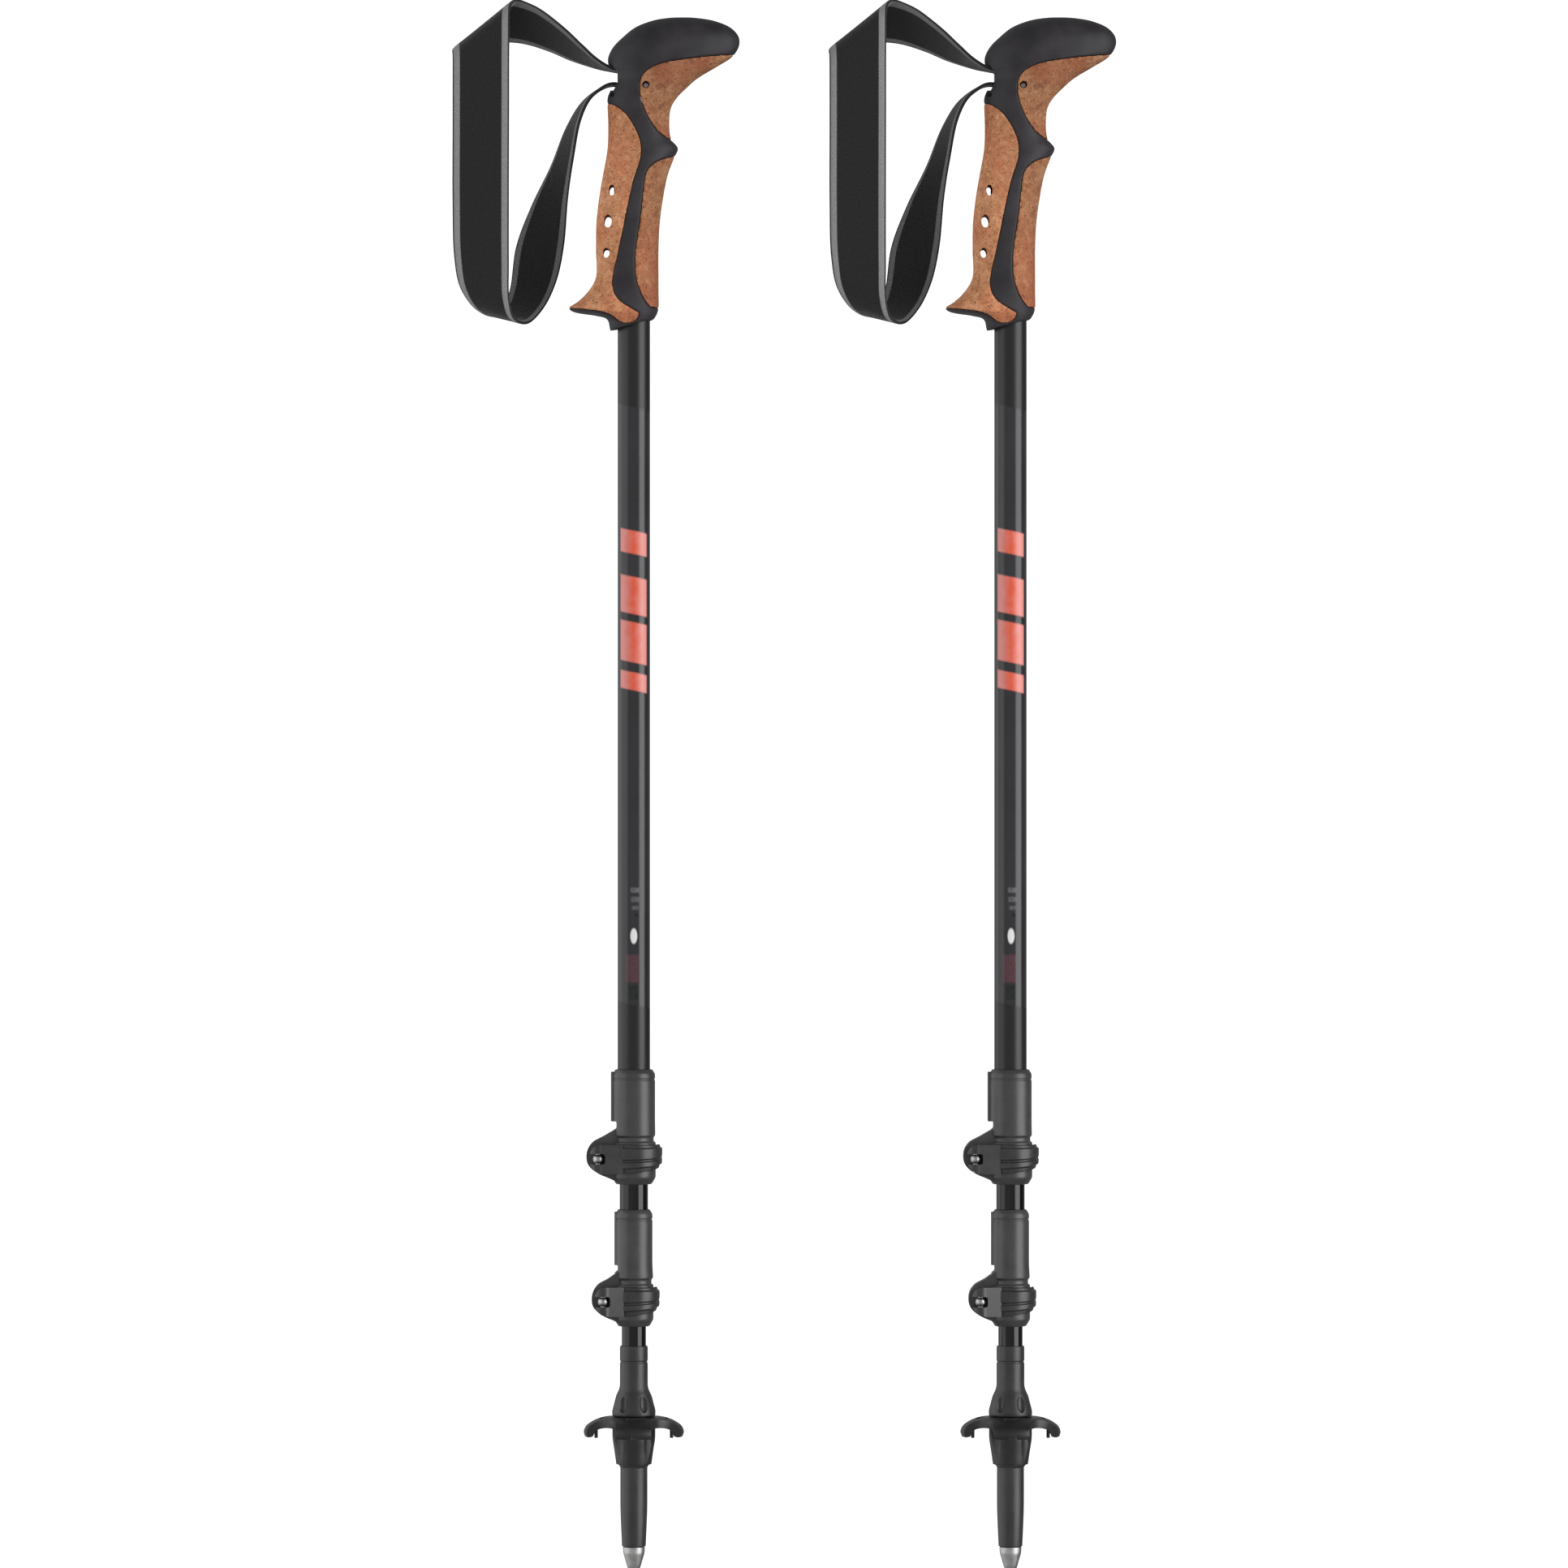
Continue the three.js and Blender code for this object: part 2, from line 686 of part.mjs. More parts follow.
// ---------------------------------------------------------------- one pole's pieces
const grip = gripPieces();
const PIECES = [
  ["grip_core", grip.grip_core, "softBlack"],
  ["palm_cork", grip.palm_cork, "cork"],
  ["horn_cork", grip.horn_cork, "cork"],
  ["finger_cork", grip.finger_cork, "cork"],
  ["pommel", grip.pommel, "softBlack"],
  ["strap_pin", strapPin(), "steel"],
  ["strap_wedge", strapWedge(), "plastic"],
  ["strap_tail", strapTail(), "webbing"],
  ["strap_loop", strapLoop(), "webbing"],
  ["upper_tube", tube(UPPER_TUBE), "tube"],
  ["middle_tube", tube(MIDDLE_TUBE), "tube"],
  ["lower_tube", tube(LOWER_TUBE), "tube"],
  ["middle_guide_bush", guideBush(MIDDLE_TUBE, UPPER_TUBE), "plastic"],
  ["lower_guide_bush", guideBush(LOWER_TUBE, MIDDLE_TUBE), "plastic"],
  ["tip_body", tipBody(), "plastic"],
  ["tip_ferrule", ferrule(), "steel"],
  ["carbide_point", carbidePoint(), "steel"],
  ["basket", basket(), "plastic"],
];
for (const [name, lock] of Object.entries({ upper: UPPER_LOCK, lower: LOWER_LOCK })) {
  PIECES.push([`${name}_lock_housing`, lockHousing(lock), "plastic"]);
  PIECES.push([`${name}_lock_lever`, lockLever(lock), "plastic"]);
  PIECES.push([`${name}_lock_pin`, lockPin(lock), "steel"]);
  PIECES.push([`${name}_lock_bolt`, lockBolt(lock), "steel"]);
  PIECES.push([`${name}_lock_nut`, lockNut(lock), "plastic"]);
}

function pole(side, x) {
  const group = new THREE.Group();
  group.position.x = x;
  for (const [name, made, finish] of PIECES) {
    const mesh = new THREE.Mesh(geometryOf(made), MATERIALS[finish].clone());
    mesh.name = `${side}_${name}`;
    group.add(mesh);
  }
  return group;
}

const pair = new THREE.Group();
pair.add(pole("left", 0), pole("right", PAIR_SPACING));

export default pair;
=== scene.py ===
"""A pair of collapsed trekking poles with cork grips, wrist straps, lever locks and baskets.

Shapes are given in millimetres in the frame of one pole, whose axis is the Z axis, and each
piece is made once and then placed on the left and the right pole.
"""

import math

import bmesh
import bpy
import numpy as np
from mathutils import Matrix, Vector


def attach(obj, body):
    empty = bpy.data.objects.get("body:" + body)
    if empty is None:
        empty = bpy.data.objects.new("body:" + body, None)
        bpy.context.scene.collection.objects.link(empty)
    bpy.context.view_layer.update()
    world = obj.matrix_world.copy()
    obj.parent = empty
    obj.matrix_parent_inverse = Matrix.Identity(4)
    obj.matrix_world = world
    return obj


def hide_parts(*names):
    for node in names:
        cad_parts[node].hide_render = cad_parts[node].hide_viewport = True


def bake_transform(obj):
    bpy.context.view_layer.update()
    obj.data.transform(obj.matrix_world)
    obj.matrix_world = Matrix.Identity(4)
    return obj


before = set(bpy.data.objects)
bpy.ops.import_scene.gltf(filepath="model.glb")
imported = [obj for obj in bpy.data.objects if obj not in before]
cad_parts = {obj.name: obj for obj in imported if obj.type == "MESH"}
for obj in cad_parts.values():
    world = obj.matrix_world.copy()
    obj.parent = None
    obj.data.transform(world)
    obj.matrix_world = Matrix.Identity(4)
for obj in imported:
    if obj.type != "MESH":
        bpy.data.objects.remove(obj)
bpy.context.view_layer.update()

MM = 0.001


def set_all(thing, settings):
    for key, value in settings.items():
        setattr(thing, key, value)


class Sizes:
    """Named measures of one thing."""

    def __init__(self, **sizes):
        set_all(self, sizes)


PAIR_SPACING = 185.6
POLES = {"left": 0.0, "right": PAIR_SPACING * MM}
TAU = 2 * math.pi
UPPER_TUBE = Sizes(r=8.0, wall=0.7, bottom=224.4, top=724.5)
MIDDLE_TUBE = Sizes(r=7.0, wall=0.7, bottom=153.6, top=650)
LOWER_TUBE = Sizes(r=6.0, wall=0.8, bottom=76.5, top=590)


# ---- outlines
def spline(points, count, closed=False):
    """A centripetal Catmull-Rom curve through points of any dimension, evenly resampled."""
    p = np.asarray(points, float)
    if closed:
        p = np.vstack([p[-1:], p, p[:2]])
    else:
        p = np.vstack([2 * p[0] - p[1], p, 2 * p[-1] - p[-2]])
    knots = np.sqrt(np.maximum(np.linalg.norm(np.diff(p, axis=0), axis=1), 1e-9))
    t = np.concatenate([[0], np.cumsum(knots)])
    spans = []
    for i in range(1, len(p) - 2):
        u = np.linspace(t[i], t[i + 1], 24, endpoint=False)[:, None]
        level = [p[i - 1], p[i], p[i + 1], p[i + 2]]
        for depth in (1, 2, 3):
            for k in range(4 - depth):
                lo, hi = (i, i + 1) if depth == 3 else (i - 1 + k, i - 1 + k + depth)
                level[k] = ((t[hi] - u) * level[k] + (u - t[lo]) * level[k + 1]) / (t[hi] - t[lo])
        spans.append(level[0])
    fine = np.vstack([*spans, p[-2:-1]])
    along = np.concatenate([[0], np.cumsum(np.linalg.norm(np.diff(fine, axis=0), axis=1))])
    wanted = np.linspace(0, along[-1], count, endpoint=not closed)
    return np.column_stack([np.interp(wanted, along, fine[:, k]) for k in range(fine.shape[1])])


def fillet(outline, radius, steps=4):
    """A closed outline with its corners rounded. Corners at [x, y, 0] stay sharp."""
    n = len(outline)
    made = []
    for i, corner in enumerate(outline):
        p = np.array(corner[:2], float)
        reach = radius if len(corner) < 3 else corner[2]
        before = np.array(outline[i - 1][:2], float) - p
        after = np.array(outline[(i + 1) % n][:2], float) - p
        cut = min(reach, 0.48 * np.linalg.norm(before), 0.48 * np.linalg.norm(after))
        if cut < 1e-3:
            made.append(p)
            continue
        start = p + before / np.linalg.norm(before) * cut
        end = p + after / np.linalg.norm(after) * cut
        for k in range(steps + 1):
            s = k / steps
            made.append((1 - s) ** 2 * start + 2 * s * (1 - s) * p + s**2 * end)
    return np.array(made)


def arc(cx, cy, r, start, end, steps):
    angles = np.radians(np.linspace(start, end, steps + 1))
    return np.column_stack([cx + r * np.cos(angles), cy + r * np.sin(angles)])


def grown(outline, distance):
    """A closed outline moved outwards."""
    p = np.asarray(outline, float)
    ahead = np.roll(p, -1, axis=0) - p
    turning = np.sum(p[:, 0] * np.roll(p[:, 1], -1) - np.roll(p[:, 0], -1) * p[:, 1])
    normal = np.column_stack([ahead[:, 1], -ahead[:, 0]]) * np.sign(turning)
    normal /= np.maximum(np.linalg.norm(normal, axis=1)[:, None], 1e-9)
    both = normal + np.roll(normal, 1, axis=0)
    scale = 2 * distance / np.maximum(np.sum(both * both, axis=1), 0.5)
    return p + both * scale[:, None]


# ---- meshes
def in_scene(name, data):
    obj = bpy.data.objects.new(name, data)
    bpy.context.scene.collection.objects.link(obj)
    return obj


def piece(name, points, faces):
    """A mesh object from points in millimetres, with its normals facing out."""
    mesh = bpy.data.meshes.new(name)
    mesh.from_pydata((np.asarray(points, float) * MM).tolist(), [], faces)
    work = bmesh.new()
    work.from_mesh(mesh)
    bmesh.ops.recalc_face_normals(work, faces=work.faces)
    work.to_mesh(mesh)
    work.free()
    return in_scene(name, mesh)


def grid_faces(rows, columns, closed_rows=False):
    """Quads over rows of points, where each row closes on itself."""
    made = []
    for j in range(rows if closed_rows else rows - 1):
        low, high = j * columns, ((j + 1) % rows) * columns
        for i in range(columns):
            k = (i + 1) % columns
            made.append((low + i, low + k, high + k, high + i))
    return made


def lathe(name, outline, sides=96):
    """A closed outline of [radius, z] turned round Z. It may start and end on the axis."""
    outline = np.asarray(outline, float)
    on_axis = outline[0][0] < 1e-6 and outline[-1][0] < 1e-6
    rows = outline[1:-1] if on_axis else outline
    angles = np.arange(sides) * TAU / sides
    ring = np.column_stack([np.cos(angles), np.sin(angles)])
    points = np.vstack([np.column_stack([ring * r, np.full(sides, z)]) for r, z in rows])
    faces = grid_faces(len(rows), sides, closed_rows=not on_axis)
    if on_axis:
        bottom, top = len(points), len(points) + 1
        last = (len(rows) - 1) * sides
        points = np.vstack([points, [0, 0, outline[0][1]], [0, 0, outline[-1][1]]])
        for i in range(sides):
            k = (i + 1) % sides
            faces += [(bottom, k, i), (top, last + i, last + k)]
    return piece(name, points, faces)


def loft(name, rings):
    """Rings of points joined into one closed skin."""
    rings = np.asarray(rings, float)
    count, sides, _ = rings.shape
    faces = grid_faces(count, sides)
    faces += [tuple(range(sides - 1, -1, -1)), tuple(range((count - 1) * sides, count * sides))]
    return piece(name, rings.reshape(-1, 3), faces)


def prism(name, outline, axis, low, high):
    """A closed outline carried along Z, as [x, y], or along Y, as [x, z]."""
    x, other = np.asarray(outline, float).T
    rings = []
    for level in (low, high):
        held = np.full(len(x), level)
        rings.append(np.column_stack([x, held, other] if axis == "Y" else [x, other, held]))
    return loft(name, rings)


def modify(obj, kind, **settings):
    set_all(obj.modifiers.new(kind.lower(), kind), settings)


def bake(obj):
    """Applies the object's modifiers to its mesh."""
    graph = bpy.context.evaluated_depsgraph_get()
    mesh = bpy.data.meshes.new_from_object(obj.evaluated_get(graph))
    old = obj.data
    obj.modifiers.clear()
    obj.data = mesh
    bpy.data.meshes.remove(old)
    return obj


def combine(obj, operation, *others):
    """Joins, cuts or intersects with the others, which are used up."""
    for other in others:
        modify(obj, "BOOLEAN", operation=operation, object=other, solver="MANIFOLD")
        bake(obj)
        bpy.data.objects.remove(other)
    return obj


def cut(obj, *others):
    return combine(obj, "DIFFERENCE", *others)


def join(obj, *others):
    return combine(obj, "UNION", *others)


def bevelled(obj, width, segments=3, angle=35):
    limit = {"limit_method": "ANGLE", "angle_limit": math.radians(angle)}
    modify(obj, "BEVEL", width=width * MM, segments=segments, **limit)
    return bake(obj)


def softened(obj, voxel, rounds):
    """Rounds every edge: an even remesh and then a light smoothing."""
    modify(obj, "REMESH", mode="VOXEL", voxel_size=voxel * MM)
    modify(obj, "SMOOTH", factor=0.5, iterations=rounds)
    return bake(obj)


def shaded(obj, angle=35):
    obj.data.shade_smooth()
    obj.data.set_sharp_from_angle(angle=math.radians(angle))
    return obj


def evened(obj):
    """Keeps big flat faces looking flat beside the rounded edges they meet."""
    modify(obj, "WEIGHTED_NORMAL", weight=100, keep_sharp=True)
    return bake(obj)


def moved(obj, shift):
    obj.data.transform(Matrix.Translation(Vector(shift) * MM))
    return obj


def bar(name, radius, length, axis, centre, chamfer=0.3, sides=48):
    """A round bar with rounded ends, centred on a point."""
    half = length / 2
    outline = [[0, -half, 0], [radius, -half], [radius, half], [0, half, 0]]
    made = lathe(name, fillet(outline, chamfer), sides)
    if axis == "Y":
        made.data.transform(Matrix.Rotation(math.pi / 2, 4, "X"))
    return moved(made, centre)


def fluted(obj, inside, low, high, count, depth, sharpness=2.0):
    """Pushes in evenly spaced upright grooves where the surface is beyond a radius."""
    fade = 1.2
    for vertex in obj.data.vertices:
        x, y, z = vertex.co / MM
        r = math.hypot(x, y)
        if r < inside or not low < z < high:
            continue
        ends = min(1, (z - low) / fade, (high - z) / fade)
        groove = (0.5 + 0.5 * math.cos(count * math.atan2(y, x))) ** sharpness
        scale = 1 - depth * groove * ends / r
        vertex.co.x *= scale
        vertex.co.y *= scale
    return obj


# ---- node helpers
class Graph:
    """Short names for building the nodes of a material, or of another node tree."""

    def __init__(self, name="", tree=None):
        self.tree = tree
        if tree is None:
            self.material = bpy.data.materials.new(name)
            self.material.use_nodes = True
            self.tree = self.material.node_tree
            self.shader = self.tree.nodes["Principled BSDF"]

    def node(self, kind, inputs=None, **settings):
        made = self.tree.nodes.new(f"ShaderNode{kind}")
        set_all(made, settings)
        for key, value in (inputs or {}).items():
            self.feed(made.inputs[key], value)
        return made

    def feed(self, socket, value):
        if isinstance(value, bpy.types.NodeSocket):
            self.tree.links.new(value, socket)
        elif isinstance(value, bpy.types.Node):
            self.tree.links.new(value.outputs[0], socket)
        else:
            socket.default_value = value

    def math(self, operation, a, b=0.0, c=0.0, clamp=False):
        made = self.node("Math", {0: a, 1: b, 2: c}, operation=operation, use_clamp=clamp)
        return made.outputs[0]

    def times(self, a, b, plus=None):
        """a times b, and plus a third value if there is one."""
        if plus is None:
            return self.math("MULTIPLY", a, b)
        return self.math("MULTIPLY_ADD", a, b, plus)

    def place(self):
        """x, y and z of the surface in millimetres, in the pole's own frame."""
        position = self.node("TexCoord").outputs["Object"]
        split = self.node("SeparateXYZ", {0: position})
        return [self.times(split.outputs[k], 1000.0) for k in range(3)]

    def noise(self, scale, detail=4.0, vector=None, stretch=None):
        vector = vector or self.node("TexCoord").outputs["Object"]
        if stretch:
            vector = self.node("Mapping", {"Vector": vector, "Scale": stretch}).outputs[0]
        inputs = {"Vector": vector, "Scale": scale, "Detail": detail, "Roughness": 0.55}
        return self.node("TexNoise", inputs).outputs[0]

    def step(self, value, low, high, start=0.0, end=1.0):
        """Goes from start to end as the value goes from low to high."""
        return self.node("MapRange", {0: value, 1: low, 2: high, 3: start, 4: end}).outputs[0]

    def between(self, value, low, high, edge=0.15):
        """1 where low < value < high, with soft edges."""
        up = self.step(value, low - edge, low + edge)
        down = self.step(value, high - edge, high + edge)
        return self.math("SUBTRACT", up, down, clamp=True)

    def ramp(self, value, stops):
        made = self.node("ValToRGB", {0: value})
        elements = made.color_ramp.elements
        while len(elements) < len(stops):
            elements.new(0.5)
        for element, (where, colour) in zip(elements, stops):
            element.position = where
            element.color = (*colour, 1)
        return made.outputs[0]

    def mottled(self, value, dark, light):
        return self.ramp(value, [(0.3, dark), (0.7, light)])

    def scaled(self, colour, share):
        made = self.node("VectorMath", {0: colour, "Scale": share}, operation="SCALE")
        return made.outputs[0]

    def mix(self, share, a, b):
        made = self.node("Mix", data_type="RGBA")
        self.feed(made.inputs[0], share)
        for socket, value in ((made.inputs[6], a), (made.inputs[7], b)):
            self.feed(socket, (*value, 1) if isinstance(value, tuple) else value)
        return made.outputs[2]

    def spread(self, value, low, high):
        """A value of 0 to 1 carried to low to high."""
        return self.step(value, 0.0, 1.0, low, high)

    def bump(self, height, distance, strength):
        """A normal from a height, where a height of 1 stands so many millimetres proud."""
        inputs = {"Height": height, "Distance": distance * MM, "Strength": strength}
        return self.node("Bump", inputs).outputs[0]

    def finish(self, **sockets):
        """Feeds the shader's sockets, named with _ for each space."""
        for key, value in sockets.items():
            value = (*value, 1) if isinstance(value, tuple) else value
            self.feed(self.shader.inputs[key.replace("_", " ")], value)
        return self.material


# ---- materials
def cork_material():
    """Moulded cork: packed granules of several browns with dark pores, with painted shade darkening
    the finger side, away from the light.
    """
    g = Graph("cork")
    place = g.node("TexCoord").outputs["Object"]
    wobble = g.noise(900.0, 2.0, vector=place)
    shift = g.scaled(wobble, 0.0012)
    warped = g.node("VectorMath", {0: place, 1: shift}, operation="ADD").outputs[0]
    cells = {"Vector": warped, "Scale": 520.0}
    tone = g.node("SeparateColor", {0: g.node("TexVoronoi", cells).outputs["Color"]}).outputs[0]
    clouds = g.noise(110.0, 3.0)
    fine = g.noise(2600.0, 3.0)
    mixed = g.times(clouds, 0.70, g.times(fine, 0.16))
    mixed = g.times(tone, 0.27, mixed)
    browns = [
        (0.20, (0.27, 0.104, 0.048)), (0.42, (0.46, 0.190, 0.086)),
        (0.60, (0.61, 0.268, 0.126)), (0.80, (0.73, 0.375, 0.196)),
    ]
    brown = g.ramp(mixed, browns)
    blush = g.step(g.noise(38.0, 2.0), 0.45, 0.68)
    tinted = g.mix(g.times(blush, 0.62), brown, (0.60, 0.155, 0.072))
    pores = g.step(g.noise(1150.0, 2.0), 0.30, 0.38)
    colour = g.mix(g.math("SUBTRACT", 1.0, pores), tinted, (0.085, 0.036, 0.020))
    # Painted shade: the colour darkens towards +x, the finger side away from the light, down to
    # 0.55 of itself.
    painted_side_shade = g.step(g.place()[0], -6.0, 11.0, 1.0, 0.55)
    colour = g.scaled(colour, painted_side_shade)
    edges = g.node("TexVoronoi", cells, feature="DISTANCE_TO_EDGE").outputs[0]
    seams = g.step(edges, 0.0, 0.09)
    height = g.times(pores, 0.7, g.times(fine, 0.3))
    height = g.times(seams, 0.5, height)
    return g.finish(
        Base_Color=colour,
        Roughness=g.spread(fine, 0.66, 0.9),
        Specular_IOR_Level=0.3,
        Normal=g.bump(height, 0.35, 0.7),
    )


def rubber_material():
    """Soft charcoal rubber with a faint mottle and a fine grain."""
    g = Graph("grip_rubber")
    clouds = g.noise(70.0, 4.0)
    grain = g.noise(4200.0, 2.0)
    colour = g.ramp(clouds, [(0.35, (0.020, 0.018, 0.021)), (0.7, (0.038, 0.035, 0.040))])
    return g.finish(
        Base_Color=colour,
        Roughness=g.spread(clouds, 0.5, 0.64),
        Specular_IOR_Level=0.28,
        Normal=g.bump(grain, 0.06, 0.6),
    )


def webbing_material():
    """Ribbed black webbing with a grey stripe near each edge, dimmer on the inside face."""
    g = Graph("webbing")
    uv = g.node("SeparateXYZ", {0: g.node("UVMap", uv_map="strap").outputs[0]})
    across, along = g.math("FRACT", uv.outputs[0]), uv.outputs[1]
    inside = g.math("GREATER_THAN", uv.outputs[0], 1.0)
    side = g.math("ABSOLUTE", g.math("SUBTRACT", across, 0.5))
    stripe = g.between(side, 0.37, 0.475, 0.008)
    ribs = g.math("SINE", g.times(along, TAU / 1.15))
    yarns = g.math("SINE", g.times(across, TAU * 26))
    weave = g.times(ribs, yarns)
    fuzz = g.noise(2400.0, 3.0)
    height = g.times(ribs, 0.25, g.times(fuzz, 0.6))
    height = g.times(weave, 0.35, height)
    lit = g.spread(g.times(weave, 0.5, 0.5), 0.75, 1.15)
    dark = g.mix(fuzz, (0.006, 0.006, 0.0065), (0.018, 0.018, 0.0195))
    pale = g.mix(fuzz, (0.20, 0.20, 0.205), (0.34, 0.34, 0.345))
    stripe = g.times(stripe, g.times(inside, -0.45, 1.0))
    colour = g.mix(stripe, dark, pale)
    shade = g.scaled(colour, lit)
    return g.finish(
        Base_Color=shade,
        Roughness=g.spread(fuzz, 0.72, 0.95),
        Specular_IOR_Level=0.25,
        Sheen_Weight=0.25,
        Sheen_Roughness=0.5,
        Normal=g.bump(height, 0.22, 0.8),
    )


# The coral blocks printed on the upper tube: the low and high z of each at the front, how far
# they reach along the wall to either side, and how steeply they slant.
CORAL_BLOCKS = [(504.8, 516.2), (475.2, 493.5), (451.4, 471.2), (437.7, 446.5)]
CORAL_REACH = 7.4
SLANT = 0.2
# Each small mark: its colour, its low and high z, and its left and right reach along the wall.
SMALL_MARKS = [
    ((0.13, 0.13, 0.135), 338.2, 340.6, -1.4, 2.8),
    ((0.11, 0.11, 0.115), 333.6, 336.0, -1.2, 2.8),
    ((0.11, 0.11, 0.115), 329.8, 331.6, -0.8, 2.4),
    ((0.004, 0.004, 0.004), 326.2, 328.0, 0.7, 2.4),
    ((0.085, 0.036, 0.045), 294.0, 307.6, -4.0, 2.6),
    ((0.010, 0.014, 0.012), 285.4, 292.6, -2.4, 2.2),
]
PALE_DROP = Sizes(wall=0.1, z=316.8, half_width=1.8, half_height=4.0)
# The lacquer is glossy between these heights and matt beyond them.
GLOSSY = Sizes(low=283.0, high=577.0)


def coral_print_and_highlight(g, wall, slanted):
    """Where the coral blocks are, and their colour: redder and cloudier down the middle, and paler
    pink towards the sides as a painted highlight.
    """
    blocks = 0.0
    for low, high in CORAL_BLOCKS:
        blocks = g.math("MAXIMUM", blocks, g.between(slanted, low, high, 0.5))
    blocks = g.times(blocks, g.between(wall, -CORAL_REACH, CORAL_REACH, 0.5))
    clouds = g.noise(210.0, 3.0)
    # Painted highlight: away from the front middle the coral turns pale pink, standing in for the
    # lights reflected by the tube's sides.
    aside = g.times(clouds, 5.0, g.math("ABSOLUTE", wall))
    aside = g.step(aside, 2.4, 7.4)
    return blocks, g.mix(aside, (0.72, 0.105, 0.05), (0.73, 0.26, 0.23))


def small_marks(g, wall, z, colour):
    """The colour with the small marks printed over it, a little rubbed."""
    smudge = g.step(g.noise(700.0, 3.0), 0.3, 0.5, 0.4)
    for tone, low, high, left, right in SMALL_MARKS:
        inside = g.times(g.between(z, low, high, 0.5), g.between(wall, left, right, 0.5))
        colour = g.mix(g.times(inside, smudge), colour, tone)
    return colour


def pale_drop(g, wall, z):
    """1 inside the pale oval, with a soft edge."""
    aside = g.math("DIVIDE", g.math("SUBTRACT", wall, PALE_DROP.wall), PALE_DROP.half_width)
    upwards = g.math("DIVIDE", g.math("SUBTRACT", z, PALE_DROP.z), PALE_DROP.half_height)
    reach = g.math("ADD", g.times(aside, aside), g.times(upwards, upwards))
    return g.step(reach, 1.15, 0.6)


def upper_tube_material():
    """Dark lacquer, glossy along the middle and matt at both ends, with plain printed marks and a
    painted highlight on the coral print's sides.
    """
    g = Graph("upper_tube")
    x, y, z = g.place()
    wall = g.times(g.math("ARCTAN2", x, g.times(y, -1.0)), UPPER_TUBE.r)
    slanted = g.times(wall, SLANT, z)
    clouds = g.noise(24.0, 3.0)
    glossy = g.between(slanted, GLOSSY.low, GLOSSY.high, 0.6)
    colour = g.mottled(clouds, (0.020, 0.020, 0.022), (0.030, 0.030, 0.034))
    colour = g.mix(glossy, (0.011, 0.011, 0.012), colour)
    # The coral colour carries a painted highlight towards the tube's sides.
    coral, coral_tone_and_highlight = coral_print_and_highlight(g, wall, slanted)
    colour = g.mix(coral, colour, coral_tone_and_highlight)
    colour = small_marks(g, wall, z, colour)
    drop = pale_drop(g, wall, z)
    colour = g.mix(drop, colour, (0.78, 0.78, 0.79))
    printed = g.math("MAXIMUM", coral, drop)
    rough = g.times(printed, 0.14, g.spread(clouds, 0.18, 0.24))
    speck = g.times(g.noise(5200.0, 1.0), 0.1)
    return g.finish(
        Base_Color=colour,
        Roughness=g.times(glossy, -0.14, g.math("ADD", rough, 0.14)),
        Specular_IOR_Level=0.4,
        Normal=g.bump(g.times(printed, 0.5, speck), 0.05, 0.5),
    )


# Tick marks on the tubes that slide: their pitch, and where they start and end.
TICK_PITCH = 10.0
TICKS = Sizes(low=215.0, high=420.0)


def inner_tube_material():
    """Dark anodised tube, drawn lengthways, with tick marks where it slides in and out."""
    g = Graph("inner_tube")
    x, y, z = g.place()
    drawn = g.noise(900.0, 3.0, stretch=(1.0, 1.0, 0.02))
    along = g.math("PINGPONG", z, TICK_PITCH / 2)
    tick = g.step(along, 0.36, 0.22)
    narrow = g.times(g.between(x, -1.6, 1.6, 0.1), g.math("LESS_THAN", y, 0.0))
    marked = g.between(z, TICKS.low, TICKS.high)
    mark = g.times(g.times(tick, narrow), marked)
    colour = g.mottled(drawn, (0.002, 0.002, 0.0025), (0.006, 0.006, 0.007))
    colour = g.mix(g.times(mark, 0.8), colour, (0.55, 0.55, 0.56))
    return g.finish(
        Base_Color=colour,
        Roughness=g.spread(drawn, 0.10, 0.18),
        Specular_IOR_Level=0.4,
        Normal=g.bump(drawn, 0.03, 0.5),
    )


def plastic_material(name, dark, light, rough, grain, depth):
    """Moulded plastic with a fine spark-eroded texture."""
    g = Graph(name)
    clouds = g.noise(95.0, 3.0)
    texture = g.noise(grain, 2.0)
    colour = g.mottled(clouds, dark, light)
    return g.finish(
        Base_Color=colour,
        Roughness=g.spread(clouds, rough - 0.05, rough + 0.08),
        Specular_IOR_Level=0.5,
        Normal=g.bump(texture, depth, 0.6),
    )


def steel_material(name, colour, rough, turning):
    """Bare steel with stains and the fine rings that turning leaves."""
    g = Graph(name)
    z = g.place()[2]
    rings = g.math("SINE", g.times(z, TAU / 0.42))
    stains = g.noise(260.0, 4.0)
    tone = g.mottled(stains, tuple(c * 0.7 for c in colour), colour)
    height = g.times(rings, turning, g.noise(3000.0, 2.0))
    return g.finish(
        Base_Color=tone,
        Metallic=1.0,
        Roughness=g.spread(stains, rough - 0.05, rough + 0.12),
        Normal=g.bump(height, 0.04, 0.5),
    )


# Each plastic: its darkest and palest tone, its roughness, and its grain's scale and depth.
PLASTICS = {
    "lock_plastic": ((0.034, 0.034, 0.035), (0.052, 0.052, 0.054), 0.34, 3600.0, 0.05),
    "lock_lever": ((0.020, 0.020, 0.021), (0.034, 0.034, 0.036), 0.34, 2600.0, 0.04),
    "tip_plastic": ((0.018, 0.018, 0.019), (0.032, 0.032, 0.034), 0.38, 3000.0, 0.05),
    "basket": ((0.007, 0.007, 0.008), (0.014, 0.014, 0.015), 0.40, 3000.0, 0.06),
    "bush": ((0.42, 0.42, 0.40), (0.52, 0.52, 0.50), 0.4, 2000.0, 0.04),
}
